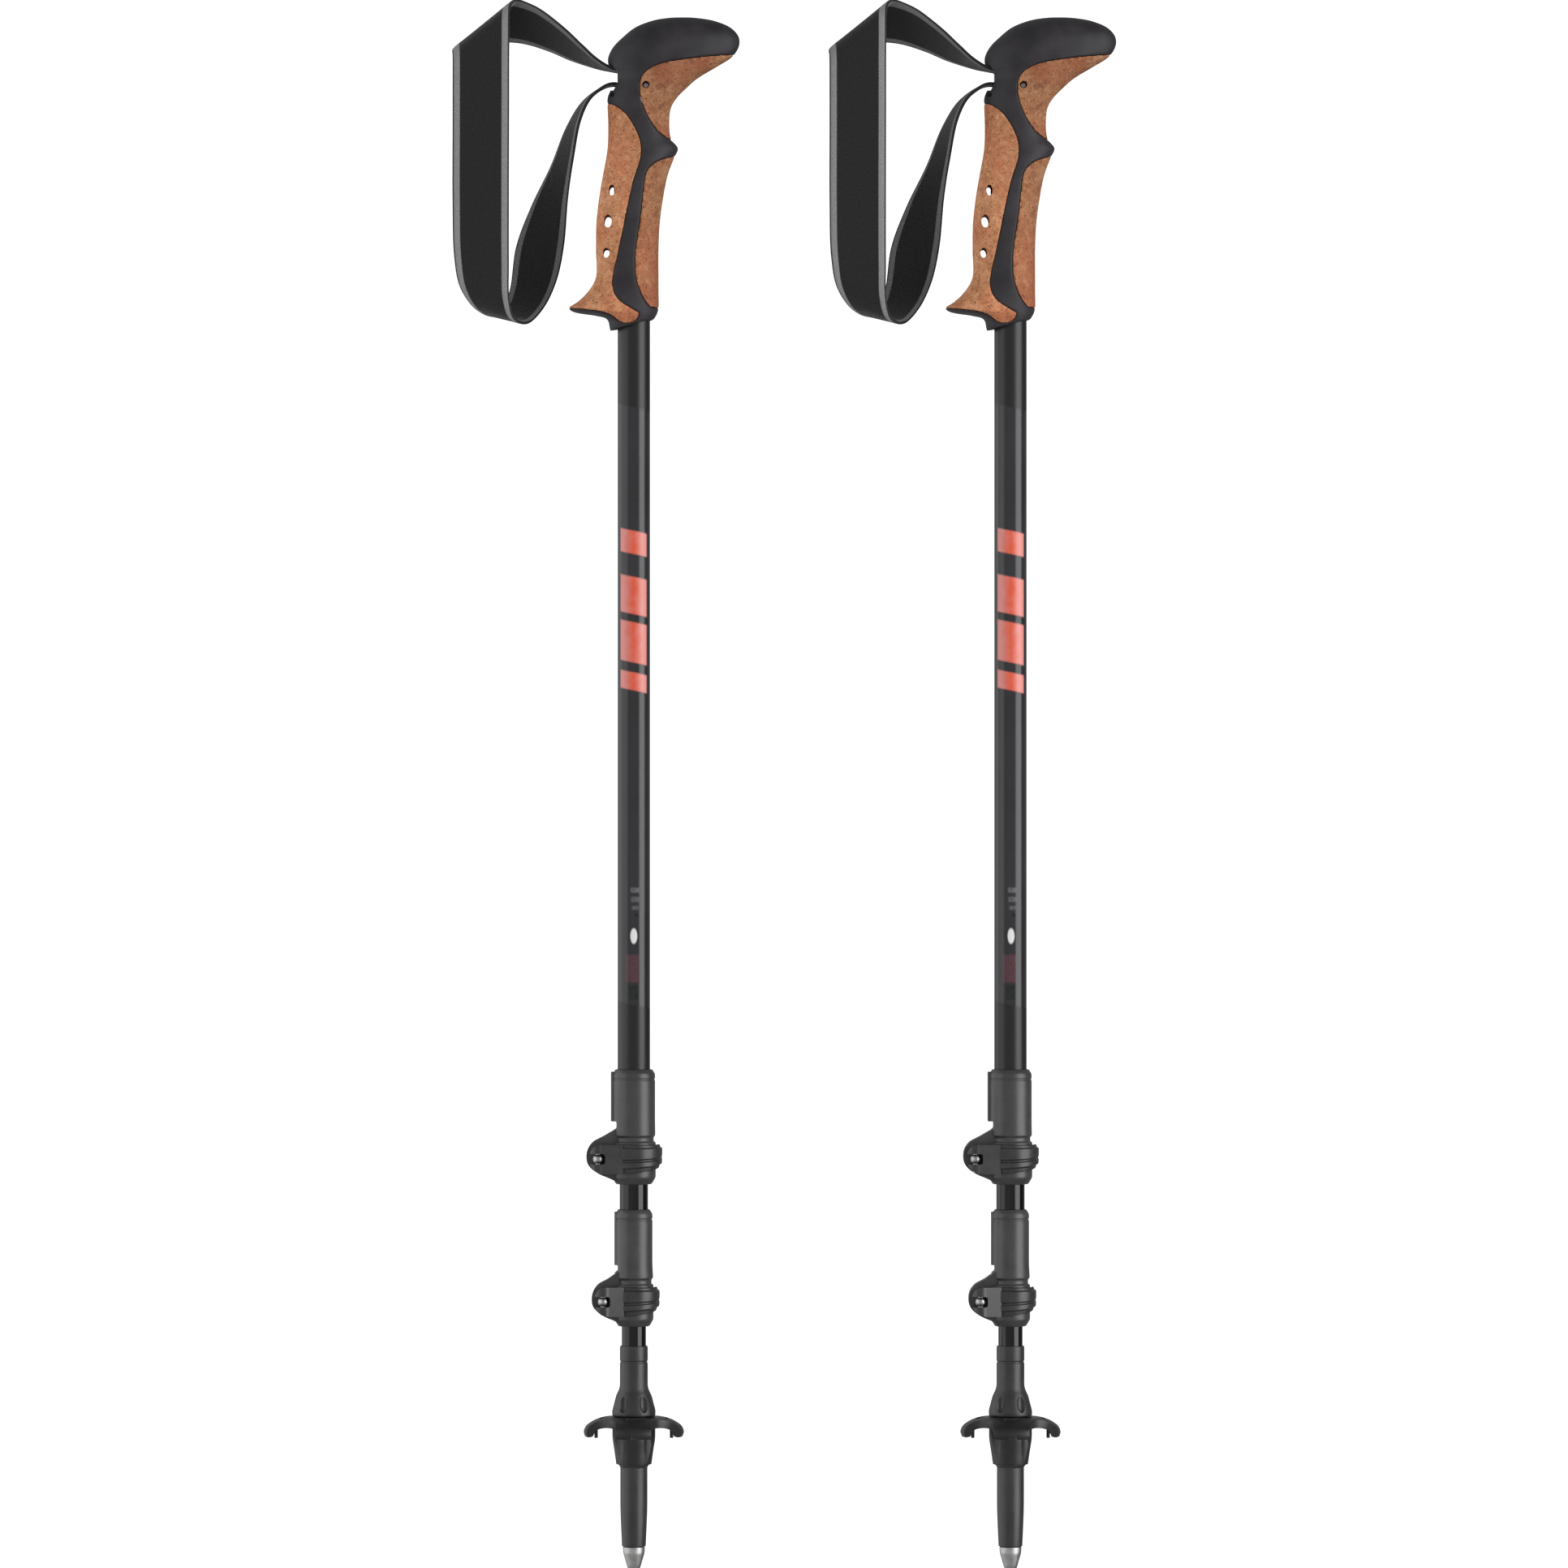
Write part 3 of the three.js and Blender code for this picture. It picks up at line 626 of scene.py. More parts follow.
# Each steel: its colour, its roughness and how deep its rings are.
STEELS = {
    "ferrule": ((0.50, 0.497, 0.493), 0.42, 0.25),
    "carbide": ((0.30, 0.30, 0.31), 0.4, 0.2),
    "steel": ((0.50, 0.50, 0.51), 0.34, 0.1),
}
MATERIALS = {
    "cork": cork_material(),
    "grip_rubber": rubber_material(),
    "webbing": webbing_material(),
    "upper_tube": upper_tube_material(),
    "inner_tube": inner_tube_material(),
    **{name: plastic_material(name, *look) for name, look in PLASTICS.items()},
    **{name: steel_material(name, *look) for name, look in STEELS.items()},
}


def dress(obj, slot):
    obj.data.materials.clear()
    obj.data.materials.append(MATERIALS[slot])


def placed(obj, name, body, slot, nodes, blend=None):
    """Puts a copy of the piece on each pole, in its CAD nodes' place: on its body, or, for a piece
    with a blend, with its place baked into its mesh and on no body.
    """
    dress(obj, slot)
    made = {}
    for side, offset in POLES.items():
        copy = in_scene(f"{side}_{name}", obj.data.copy())
        copy.location.x = offset
        if blend:
            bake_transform(copy)
        else:
            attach(copy, f"{side}_{body}")
        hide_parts(*[f"{side}_{node}" for node in nodes])
        made[side] = copy
    bpy.data.objects.remove(obj)
    return made


def fine(obj, node, body, slot):
    """Puts the piece that stands for one CAD node on each pole."""
    placed(obj, f"{node}_fine", body, slot, [node])


# ---- grip
# The hand grip's whole outside: z, left edge, right edge and half depth of each level.
GRIP_LEVELS = [
    [613.8, -10.4, 8.4, 9], [615, -11.6, 8.8, 9.8], [620.6, -13.2, 10, 12.4],
    [622.4, -19, 11, 13.6], [624.3, -30, 11.8, 15], [626, -32.2, 12.2, 15.4],
    [629, -28, 12.3, 15], [634, -22.8, 12.2, 14.4], [641, -18.8, 12.2, 14],
    [655, -18.7, 12.2, 13.8], [668, -18.5, 12.8, 13.8], [680, -17.2, 14.4, 14],
    [692, -15.2, 16.8, 14.2], [700.4, -13.6, 20, 14.2], [704.8, -13, 21.8, 13.6],
    [709.4, -12.7, 18.4, 13.8], [718, -12.7, 17.5, 13.8], [725, -13, 18.4, 14],
    [730, -12.9, 21.4, 14.4], [735, -10.6, 26.4, 15], [738.6, -8.9, 30.4, 15.6],
    [741, -9.2, 34, 16], [745, -12.2, 40.8, 16.6], [750, -12.6, 48.6, 17.2],
    [755, -10, 51.8, 17.2], [759.6, -5.4, 51.8, 16.4], [764, 0, 48.2, 14], [767.4, 8, 40.6, 9.6],
    [769.0, 16, 32, 4.6], [769.4, 22, 26, 0.8],
]
# How square its levels are, where 2 is an ellipse, and how it narrows towards the horn's end.
GRIP_SQUARENESS = 2.3
HORN_TAPER = Sizes(start=8, length=44, share=0.34)
# The clearance of moving parts, the joint between cork and rubber, and beyond any half depth.
GAP = 0.3
SEAM = 0.12
DEEP = 40

# Where the corks meet the rubber, as [x, z].
PALM_CORK_EDGE = [
    [-13.6, 727], [-9.6, 725.6], [-4.7, 722], [-1.3, 717.6], [1.4, 713], [3.3, 707.6], [3.6, 700],
    [0.2, 689], [-2.6, 677], [-5.2, 664], [-8, 651], [-9.9, 642], [-10.3, 637], [-9.2, 632.4],
    [-6.2, 628.6], [-2.2, 626], [2.8, 623.2],
]
PALM_CORK_BASE = [
    [2.8, 623.2], [1.4, 620], [-2.2, 618.4], [-6.4, 619], [-9.8, 621.6], [-13.6, 623.4],
    [-33, 626.2],
]
COLLAR_END = [[-30, 610], [-13.4, 614.4], [10, 620.6], [30, 626], [30, 590], [-30, 590]]
HORN_CORK_EDGE = [
    [19.4, 708.2], [13, 711.8], [7.4, 719.2], [3.4, 730.4], [3.9, 738.8], [8, 743], [14, 745.6],
    [28.4, 748.2], [47, 750.6],
]
FINGER_CORK_EDGE = [
    [19.8, 700.8], [10.8, 697.2], [6.6, 692.8], [4.9, 683], [3.4, 670], [1.8, 659], [0.8, 648.6],
    [1.6, 639], [5, 630.4], [8, 626.4],
]
SOCKET = Sizes(r=9.8, cavity=10.1, bottom=613.6)
STRAP_SLOT = [[-20, 735.2], [-4, 731.4], [10.6, 731.4], [10.6, 739], [-4, 744.6], [-20, 746.2]]
STRAP_SLOT_HALF_DEPTH = 7.6
RIVET = Sizes(x=-10.3, z=730.6, r=1.1)
PIN = Sizes(x=6.1, z=735.2, r=1.5, length=21)
# The palm's vents: x, z, half width and half height of each.
VENTS = [(-10.6, 683.6, 1.5, 2.7), (-12.6, 668.4, 1.9, 3.2), (-13.4, 652.8, 1.6, 2.5)]


def grip_envelope():
    """The whole grip and horn as one closed form."""
    levels = spline(GRIP_LEVELS, 230)
    angles = np.arange(112) * TAU / 112
    bulge = 2 / GRIP_SQUARENESS
    c = np.sign(np.cos(angles)) * np.abs(np.cos(angles)) ** bulge
    s = np.sign(np.sin(angles)) * np.abs(np.sin(angles)) ** bulge
    rings = []
    for z, left, right, depth in levels:
        x = (left + right) / 2 + (right - left) / 2 * c
        along = np.maximum(0, (x - HORN_TAPER.start) / HORN_TAPER.length)
        y = depth * s * (1 - HORN_TAPER.share * along**2)
        rings.append(np.column_stack([x, y, np.full(len(x), z)]))
    return loft("grip_envelope", rings)


def cork_outlines():
    """The palm, horn and finger corks, each carried past the grip's outside."""
    base = spline(PALM_CORK_BASE, 40)[1:]
    palm = np.vstack([[-50, 727.2], spline(PALM_CORK_EDGE, 80), base, [-50, 628.4]])
    horn = np.vstack([[60, 707.4], spline(HORN_CORK_EDGE, 60), [60, 752]])
    finger = np.vstack([[60, 702], spline(FINGER_CORK_EDGE, 60), [60, 624.4]])
    return palm, horn, finger


def vent_cutter(x, z, half_width, half_height):
    """An oval hole through the palm that opens out at both faces."""
    rings = []
    for y, flare in ((-22, 2.2), (-13.6, 1.5), (-12.2, 1.0), (12.2, 1.0), (13.6, 1.5), (22, 2.2)):
        ring = arc(0, 0, 1, 0, 345, 23) * [half_width * flare, half_height * flare]
        rings.append(np.column_stack([x + ring[:, 0], np.full(24, y), z + ring[:, 1]]))
    return loft("vent", rings)


def grip_pieces():
    palm, horn, finger = cork_outlines()
    cavity = [[0, 600], [SOCKET.cavity, 600], [SOCKET.cavity, 727], [0, 727]]

    def take(name, outline, cuts):
        made = combine(grip_envelope(), "INTERSECT", prism(name, outline, "Y", -DEEP, DEEP))
        cut(made, lathe("cavity", cavity))
        softened(made, 0.6, 3)
        return shaded(cut(made, *cuts), 50)

    def slot_cutter():
        half = STRAP_SLOT_HALF_DEPTH
        return prism("slot", fillet(STRAP_SLOT, 1.0), "Y", -half, half)

    def pin_hole():
        return bar("pin_hole", PIN.r + GAP, 80, "Y", (PIN.x, 0, PIN.z))

    rubber = grip_envelope()
    for outline in (palm, horn, finger):
        cut(rubber, prism("cork_room", grown(outline, SEAM), "Y", -DEEP, DEEP))
    r = SOCKET.r
    wall = [[6, SOCKET.bottom], [r, SOCKET.bottom], [r, 726], [6, 726]]
    join(rubber, lathe("socket", fillet(wall, 1.0)))
    cut(rubber, prism("collar_end", COLLAR_END, "Y", -DEEP, DEEP))
    cut(rubber, lathe("bore", [[0, 600], [8.3, 600], [8.3, 724.8], [0, 724.8]]))
    softened(rubber, 0.6, 3)
    rivets = [bar("rivet", RIVET.r, 14, "Y", (RIVET.x, y, RIVET.z)) for y in (-13, 13)]
    cut(rubber, slot_cutter(), pin_hole(), *rivets)
    shaded(rubber, 50)

    placed(rubber, "grip_rubber_skin", "upper", "grip_rubber", ["grip_core", "pommel"])
    corks = {
        "palm_cork": (palm, [vent_cutter(*vent) for vent in VENTS]),
        "horn_cork": (horn, [slot_cutter(), pin_hole()]),
        "finger_cork": (finger, []),
    }
    for name, (outline, cuts) in corks.items():
        placed(take(name, outline, cuts), f"{name}_skin", "upper", "cork", [name])
    pin = bar("pin", PIN.r, PIN.length, "Y", (PIN.x, 0, PIN.z), 0.4)
    fine(shaded(pin), "strap_pin", "upper", "steel")


# ---- wrist strap
# The strap's far edge and near edge at each station, [x, y, z], from the slot over the top,
# down in front, round the bottom, up behind, back in and round the pin.
STRAP_STATIONS = [
    [[-11.4, 6.5, 743.6], [-11.4, -6.5, 744.2]], [[-17.8, 6.8, 744.8], [-17.6, -6.4, 748]],
    [[-30.8, 8.6, 748.8], [-25.4, -5, 755.4]], [[-42.2, 10, 753.6], [-33.8, -4, 763.6]],
    [[-57, 10.4, 757.6], [-45, -1, 772.8]], [[-74, 9.6, 757.6], [-53, 2.6, 777.2]],
    [[-86, 7, 754.8], [-57.4, 3.6, 778.6]], [[-89.2, 2.6, 753.6], [-59.4, 0.4, 777.4]],
    [[-89.2, -1.4, 750.4], [-60.8, -3, 773.6]], [[-89.2, -3.2, 738], [-61.2, -4.6, 758]],
    [[-89.2, -4, 712], [-61.3, -5.4, 724]], [[-89.2, -4.2, 678], [-61.4, -5.8, 682]],
    [[-88.4, -4, 651], [-61.4, -5.8, 648]], [[-85.6, -2.6, 636.4], [-61.2, -4.6, 630.4]],
    [[-79.6, 1.6, 627.4], [-58.6, -1.2, 621.2]], [[-71.6, 8, 623.4], [-52, 5, 619.2]],
    [[-64.6, 13.4, 627.6], [-44.6, 10.4, 627]], [[-61.4, 15.8, 637], [-38.8, 12.6, 639.2]],
    [[-58.6, 16, 657], [-34.8, 11.6, 657]], [[-50.6, 13.6, 678], [-32.6, 6.4, 681]],
    [[-41, 11, 697], [-29.8, 0.6, 700.4]], [[-33.4, 9, 715.2], [-26.4, -3.6, 718.4]],
    [[-25.6, 7.6, 727.6], [-21.8, -6, 728.6]], [[-17.4, 6.6, 734], [-16.6, -6.5, 733.4]],
    [[-11.4, 6.5, 736.3], [-11.4, -6.5, 736.1]], [[-5, 6.5, 735.6], [-5, -6.5, 735.6]],
    [[2.6, 6.5, 733], [2.6, -6.5, 733]], [[6.4, 6.5, 732.5], [6.4, -6.5, 732.5]],
    [[8.8, 6.5, 735.2], [8.8, -6.5, 735.2]], [[6.6, 6.5, 737.9], [6.6, -6.5, 737.9]],
    [[2.4, 6.5, 739.4], [2.4, -6.5, 739.4]], [[-4.4, 6.5, 742.2], [-4.4, -6.5, 742.2]],
]
STRAP_THICKNESS = 1.8
STRAP_STEPS = 520
# Given as the strap's blend: the grip's body and two points, [x, y, z]. It is only used to bake the
# strap's place into its mesh, on no body.
STRAP_BLEND = ("upper", (-40, 0, 736), (-13, 0, 736))
STRAP_WEDGE = [[-8, 737.2], [1.4, 734.8], [1.4, 738.5], [-8, 741.8]]


def strap_wedge():
    wedge = bevelled(prism("wedge", STRAP_WEDGE, "Y", -6, 6), 0.4)
    fine(shaded(wedge), "strap_wedge", "upper", "lock_plastic")


def strap_section():
    """Where the band's section lies across it, 0 to 1, and how far above its middle."""
    across = [0.0, 0.012, 0.04, 0.1, 0.2, 0.35, 0.5, 0.65, 0.8, 0.9, 0.96, 0.988, 1.0]
    thick = np.array([0.35, 0.72, 0.94, 1, 0.9, 0.86, 0.86, 0.86, 0.9, 1, 0.94, 0.72, 0.35])
    half = STRAP_THICKNESS / 2 * thick
    return np.array(across + across[::-1]), np.concatenate([half, -half[::-1]])


def map_strap(mesh, section, along):
    """A map across and, in millimetres, along the band.

    Across it runs 0 to 1 on the outside face and the edges, and 1 to 2 on the inside face.
    """
    columns, steps = len(section), len(along) - 1
    layer = mesh.uv_layers.new(name="strap")
    for polygon in mesh.polygons:
        points = [mesh.loops[i].vertex_index for i in polygon.loop_indices]
        rows = [point // columns for point in points]
        sides = [point % columns for point in points]
        wraps = max(rows) - min(rows) > 1
        face = 1 if min(sides) >= columns // 2 else 0
        for i, row, column in zip(polygon.loop_indices, rows, sides):
            row = steps if wraps and row == 0 else row
            layer.data[i].uv = (section[column] + face, along[row])


def strap():
    """One closed band of webbing, from the slot round the hand's side and round the pin."""
    far, near = np.array(STRAP_STATIONS, float).transpose(1, 0, 2)
    both = spline(np.hstack([far, near]), STRAP_STEPS, closed=True)
    far, near = both[:, :3], both[:, 3:]
    middle = (far + near) / 2
    ahead = np.roll(middle, -1, axis=0) - np.roll(middle, 1, axis=0)
    up = np.cross(far - near, ahead)
    up /= np.linalg.norm(up, axis=1)[:, None]
    length = np.linalg.norm(np.roll(middle, -1, axis=0) - middle, axis=1)
    along = np.concatenate([[0], np.cumsum(length)])

    section, lift = strap_section()
    rings = far[:, None] + (near - far)[:, None] * section[None, :, None]
    rings = rings + up[:, None] * lift[None, :, None]
    faces = grid_faces(STRAP_STEPS, len(section), closed_rows=True)
    made = piece("strap", rings.reshape(-1, 3), faces)
    map_strap(made.data, section, along)
    shaded(made, 60)
    nodes = ["strap_loop", "strap_tail"]
    copies = placed(made, "wrist_strap", "strap", "webbing", nodes, blend=STRAP_BLEND)


# ---- tubes
def tube(name, size, body, slot):
    r, inside = size.r, size.r - size.wall
    low, high = size.bottom, size.top
    outline = fillet([[inside, low], [r, low], [r, high], [inside, high]], 0.25, 3)
    fine(shaded(lathe(name, outline, 128)), name, body, slot)


# ---- lever locks
# Each lock: the tube it is fixed to and the one it grips, its body, its levels and its reach.
LOCKS = {
    "upper": Sizes(
        outer=UPPER_TUBE, inner=MIDDLE_TUBE, body="upper", top=251, middle=207.2, bottom=194.4,
        sleeve_r=10.5, rib_left=-11.3, notch_x=-8.5, collar_r=10.8, lever_r=14.0, pivot_x=-17.2,
        ear_left=-23.4,
    ),
    "lower": Sizes(
        outer=MIDDLE_TUBE, inner=LOWER_TUBE, body="middle", top=182, middle=137, bottom=124.4,
        sleeve_r=9.2, rib_left=-9.6, notch_x=-7.9, collar_r=9.7, lever_r=12.7, pivot_x=-14.8,
        ear_left=-20.8,
    ),
}
EAR_Y = 6.0
HUB_R = 4.4
PIN_R = 1.5
BOLT_R = 1.7
PIVOT_Y = -(EAR_Y + GAP + HUB_R)
LEVER_HALF = 7.5
LEVER_WALL = 2.4
FORK_SLOT = 5.2
# The lever's arm runs round the collar between these turns, its neck meets it up to the third,
# and its end is rounded over the last share.
LEVER_TURN = Sizes(first=228, last=373, neck=248, rounded=0.14)


def lock_sleeve(lock):
    """The round part of the clamp: a sleeve on the outer tube and a collar on the inner one."""
    outer, inner, middle, top = lock.outer, lock.inner, lock.middle, lock.top
    bore, sleeve, collar = inner.r + GAP, outer.r + GAP, lock.collar_r
    outline = [
        [bore, lock.bottom], [collar - 2, lock.bottom], [collar, lock.bottom + 3.4],
        [collar, middle + 7.9], [collar - 1.0, middle + 8.4], [collar - 1.0, middle + 10.4],
        [collar - 0.2, middle + 11.2], [collar - 0.2, middle + 12.6],
        [lock.sleeve_r, middle + 17.6, 3], [lock.sleeve_r, top - 5.6],
        [lock.sleeve_r - 0.25, top - 5.2, 0.1], [lock.sleeve_r - 0.25, top - 4.6, 0.1],
        [lock.sleeve_r, top - 4.2], [lock.sleeve_r, top - 2.2], [lock.sleeve_r - 1.4, top],
        [sleeve, top], [sleeve, outer.bottom - GAP, 0], [bore, outer.bottom - GAP, 0],
    ]
    return lathe("sleeve", fillet(outline, 0.9), 112)


def lock_notch(lock):
    """What is cut away beside the rib, between the sleeve and the ears."""
    middle, x = lock.middle, lock.notch_x
    high = lock.outer.bottom + 1.0
    notch = [[x, high], [x, middle + 15], [-14, middle + 10.6], [-40, middle + 10.6], [-40, high]]
    return prism("notch", fillet(notch, 0.6), "Y", -DEEP, DEEP)


def lock_ears(lock):
    """The two ears that the bolt pulls together, as one block before the slit."""
    left, middle, inner = lock.ear_left, lock.middle, lock.inner
    ear = [
        [-inner.r - 1, middle + 15, 1], [left + 8, middle + 10.6], [left + 3, middle + 8.2],
        [left + 0.5, middle + 4.6], [left, middle + 1], [left + 0.4, middle - 2.4],
        [left + 2.6, middle - 5.2], [left + 6.4, middle - 7.8], [left + 12, middle - 10],
        [-inner.r, middle - 12.2, 0],
    ]
    return bevelled(prism("ears", fillet(ear, 2.4), "Y", -EAR_Y, EAR_Y), 1.2, 4)


def lock_rib(lock):
    """The upright rib down the left of the sleeve."""
    x = lock.rib_left
    rib = fillet([[x, -2.6], [-7.6, -3.6], [-7.6, 3.6], [x, 2.6]], 0.8)
    return bevelled(prism("rib", rib, "Z", lock.outer.bottom + 1.0, lock.top - 1.2), 0.8)


def lock_bores(lock):
    """The room for both tubes, the slit between the ears and the bolt's hole."""
    outer, inner, middle = lock.outer, lock.inner, lock.middle
    bore, wide, floor = inner.r + GAP, outer.r + GAP, outer.bottom - GAP
    ream = [[0, 100], [bore, 100], [bore, floor], [wide, floor], [wide, 300], [0, 300]]
    slit = [[-40, -0.9], [0, -0.9], [0, 0.9], [-40, 0.9]]
    return [
        lathe("ream", ream, 112),
        prism("slit", slit, "Z", lock.bottom - 5, middle + 12.4),
        bar("bolt_hole", BOLT_R + GAP, 60, "Y", (lock.pivot_x, 0, middle)),
    ]


def lock_housing(name, lock):
    body = cut(lock_sleeve(lock), lock_notch(lock))
    join(body, lock_ears(lock))
    join(body, lock_rib(lock))
    cut(body, *lock_bores(lock))
    fine(shaded(body), name, lock.body, "lock_plastic")


def lever_arm(name, lock):
    """The arm's ribbed section carried round the front of the collar to its free end."""
    r, middle = lock.lever_r, lock.middle
    section = [
        [r - LEVER_WALL, -LEVER_HALF], [r - 1.5, -LEVER_HALF], [r - 1.1, -5.3, 0.3],
        [r - 0.1, -4.8, 0.3], [r, -2.2, 0.3], [r - 0.8, -1.7, 0.25], [r - 0.8, -0.9, 0.25],
        [r, -0.4, 0.3], [r + 0.1, 2.4], [r, 5.2, 0.3], [r - 0.9, 5.8, 0.3], [r - 1.2, LEVER_HALF],
        [r - LEVER_WALL, LEVER_HALF],
    ]
    section = fillet(section, 0.6, 3)
    first, last, rounded = LEVER_TURN.first, LEVER_TURN.last, LEVER_TURN.rounded
    rings = []
    for angle in np.linspace(first, last, 74):
        gone = (angle - first) / (last - first)
        end = max(0, (gone - 1 + rounded) / rounded)
        height = (1 - 0.26 * gone) * (0.35 + 0.65 * math.sqrt(max(0.02, 1 - end**2)))
        turn = math.radians(angle)
        x, y = section[:, 0] * math.cos(turn), section[:, 0] * math.sin(turn)
        z = middle + 1.6 * gone**2 + section[:, 1] * height
        rings.append(np.column_stack([x, y, z]))
    return loft(name, rings)


def lever_root(lock):
    """The knuckle on the pin and the neck that joins it to the arm, with a rounded nose."""
    x, middle, r = lock.pivot_x, lock.middle, lock.lever_r
    root = bar("knuckle", HUB_R, 2 * LEVER_HALF + 1, "Z", (x, PIVOT_Y, middle), 0.5, 64)
    first, end = LEVER_TURN.first, LEVER_TURN.neck
    outside = arc(0, 0, r - 0.3, first, end, 1)
    inside = arc(0, 0, r - LEVER_WALL + 0.3, end, first, 1)
    neck = [[x, PIVOT_Y - HUB_R], outside[1], *inside, [x + 3.1, PIVOT_Y + 3.0]]
    join(root, prism("neck", neck, "Z", middle - LEVER_HALF, middle + LEVER_HALF))
    nose = [
        [x + 14, middle + LEVER_HALF - 0.4, 0], [x - 0.4, middle + LEVER_HALF - 0.4],
        [x - 3.2, middle + 5.4], [x - HUB_R - 0.1, middle + 2.4], [x - HUB_R - 0.1, middle - 1.6],
        [x - 3.2, middle - 4.6], [x - 0.4, middle - 6.6], [x + 3.2, middle - LEVER_HALF + 0.2],
        [x + 14, middle - LEVER_HALF + 0.2, 0],
    ]
    combine(root, "INTERSECT", prism("nose", fillet(nose, 1.8), "Y", -DEEP, DEEP))
    return bevelled(root, 1.0, 4, 50)


def lock_lever(name, lock, body):
    """Arm and root in one, forked round the bolt's eye."""
    x, middle = lock.pivot_x, lock.middle
    arm = join(lever_arm(name, lock), lever_root(lock))
    half = FORK_SLOT / 2
    low, high, right = middle - half, middle + half, x + 3.4
    fork = [[-40, low], [right, low], [right, high], [-40, high]]
    pin_hole = bar("pin_hole", PIN_R + GAP, 40, "Z", (x, PIVOT_Y, middle))
    cut(arm, pin_hole, prism("fork", fillet(fork, 1.4), "Y", -40, 0))
    fine(evened(shaded(arm, 40)), name, body, "lock_lever")


def lock_fasteners(prefix, lock):
    """The bolt with its eye, the lever's pin and the knurled nut."""
    x, middle, body = lock.pivot_x, lock.middle, lock.body
    barrel = [[0, -2.3, 0], [1.9, -2.3], [3.0, 0], [1.9, 2.3], [0, 2.3, 0]]
    eye = moved(lathe("eye", fillet(barrel, 1.4), 48), (x, PIVOT_Y, middle))
    low, high = PIVOT_Y + 1, EAR_Y + 7.4
    shank = bar("shank", BOLT_R, high - low, "Y", (x, (low + high) / 2, middle), 0.4)
    join(eye, shank)
    cut(eye, bar("hole", PIN_R + 0.15, 30, "Z", (x, PIVOT_Y, middle)))
    fine(shaded(eye), f"{prefix}_bolt", body, "steel")

    pin = bar("pin", PIN_R, 2 * LEVER_HALF - 2.4, "Z", (x, PIVOT_Y, middle - 0.4), 0.5)
    fine(shaded(pin), f"{prefix}_pin", body, "steel")

    hole = BOLT_R + GAP
    knob = [[hole, 0], [3.9, 0], [5.0, 0.9], [5.0, 3.6], [4.2, 4.7], [hole + 1.1, 4.7], [hole, 3.9]]
    nut = fluted(lathe("nut", fillet(knob, 0.5), 144), 4.3, 0.2, 4.4, 18, 0.55, 1.4)
    nut.data.transform(Matrix.Rotation(-math.pi / 2, 4, "X"))
    moved(nut, (x, EAR_Y + GAP, middle))
    nut_body = prefix.replace("_lock", "_nut")
    fine(shaded(nut, 40), f"{prefix}_nut", nut_body, "lock_plastic")


# ---- tip and basket
TIP = Sizes(top=114.8, stop=80.3, neck_r=7.5, body_r=6.7, bottom=16)


def tip_body():
    """The tip's sleeve on the lower tube, the flared stop with six hollows, and its long nose."""
    stop, top, bottom = TIP.stop, TIP.top, TIP.bottom
    bore, floor = LOWER_TUBE.r + 0.2, LOWER_TUBE.bottom - GAP
    outline = [
        [0, bottom, 0], [TIP.body_r - 0.8, bottom, 0.3], [TIP.body_r, bottom + 18, 6],
        [TIP.body_r, 55, 0.4], [TIP.neck_r, 56, 0.4], [TIP.neck_r, stop, 0.2], [10.6, stop, 0.5],
        [10.8, stop + 2.8, 1.6], [9.2, stop + 9.2, 3], [6.9, stop + 13.8, 2],
        [6.9, top - 8.6, 0.3], [6.6, top - 8.2, 0.1], [6.6, top - 7.6, 0.1],
        [6.9, top - 7.2, 0.3], [6.9, top - 0.8, 0.5], [6.6, top, 0.2], [bore, top, 0.1],
        [bore, floor, 0.2], [0, floor, 0],
    ]
    body = lathe("tip_body", fillet(outline, 0.4), 128)
    flutes = []
    for k in range(6):
        a = TAU * k / 6
        across = np.vstack([[0, -1], arc(0, 0, 1, -80, 80, 16), [0, 1]])
        flute = lathe("flute", across * [2.6, 5.6], 32)
        flutes.append(moved(flute, (11.0 * math.cos(a), 11.0 * math.sin(a), stop + 7.4)))
    cut(body, *flutes)
    cut(body, bar("seat", 3.1, 2 * (38.3 - bottom), "Z", (0, 0, bottom)))
    fine(shaded(body), "tip_body", "lower", "tip_plastic")


def tip_ferrule():
    """The steel cone, with the stem that holds it in the plastic."""
    cone = [
        [0, 4, 0], [2.7, 4], [3.2, 5.6], [3.5, 6.4], [5.3, 12.6], [5.5, 15.7], [2.8, 15.7, 0],
        [2.8, 38], [0, 38, 0],
    ]
    ferrule = lathe("ferrule", fillet(cone, 0.4), 96)
    cut(ferrule, bar("seat", 1.5, 16, "Z", (0, 0, 4)))
    fine(shaded(ferrule), "tip_ferrule", "lower", "ferrule")


def carbide_point():
    crown = [[0, 0, 0], [1.7, 0, 0.15], [2.2, 3.7], [1.2, 3.7, 0], [1.2, 9.7], [0, 9.7, 0]]
    point = lathe("point", fillet(crown, 0.3), 48)
    fine(shaded(point), "carbide_point", "lower", "carbide")


BASKET = Sizes(bore=7.9, hub_r=10.6, rim_r=24.9, top=79.9, bottom=56.4, lobes=4)


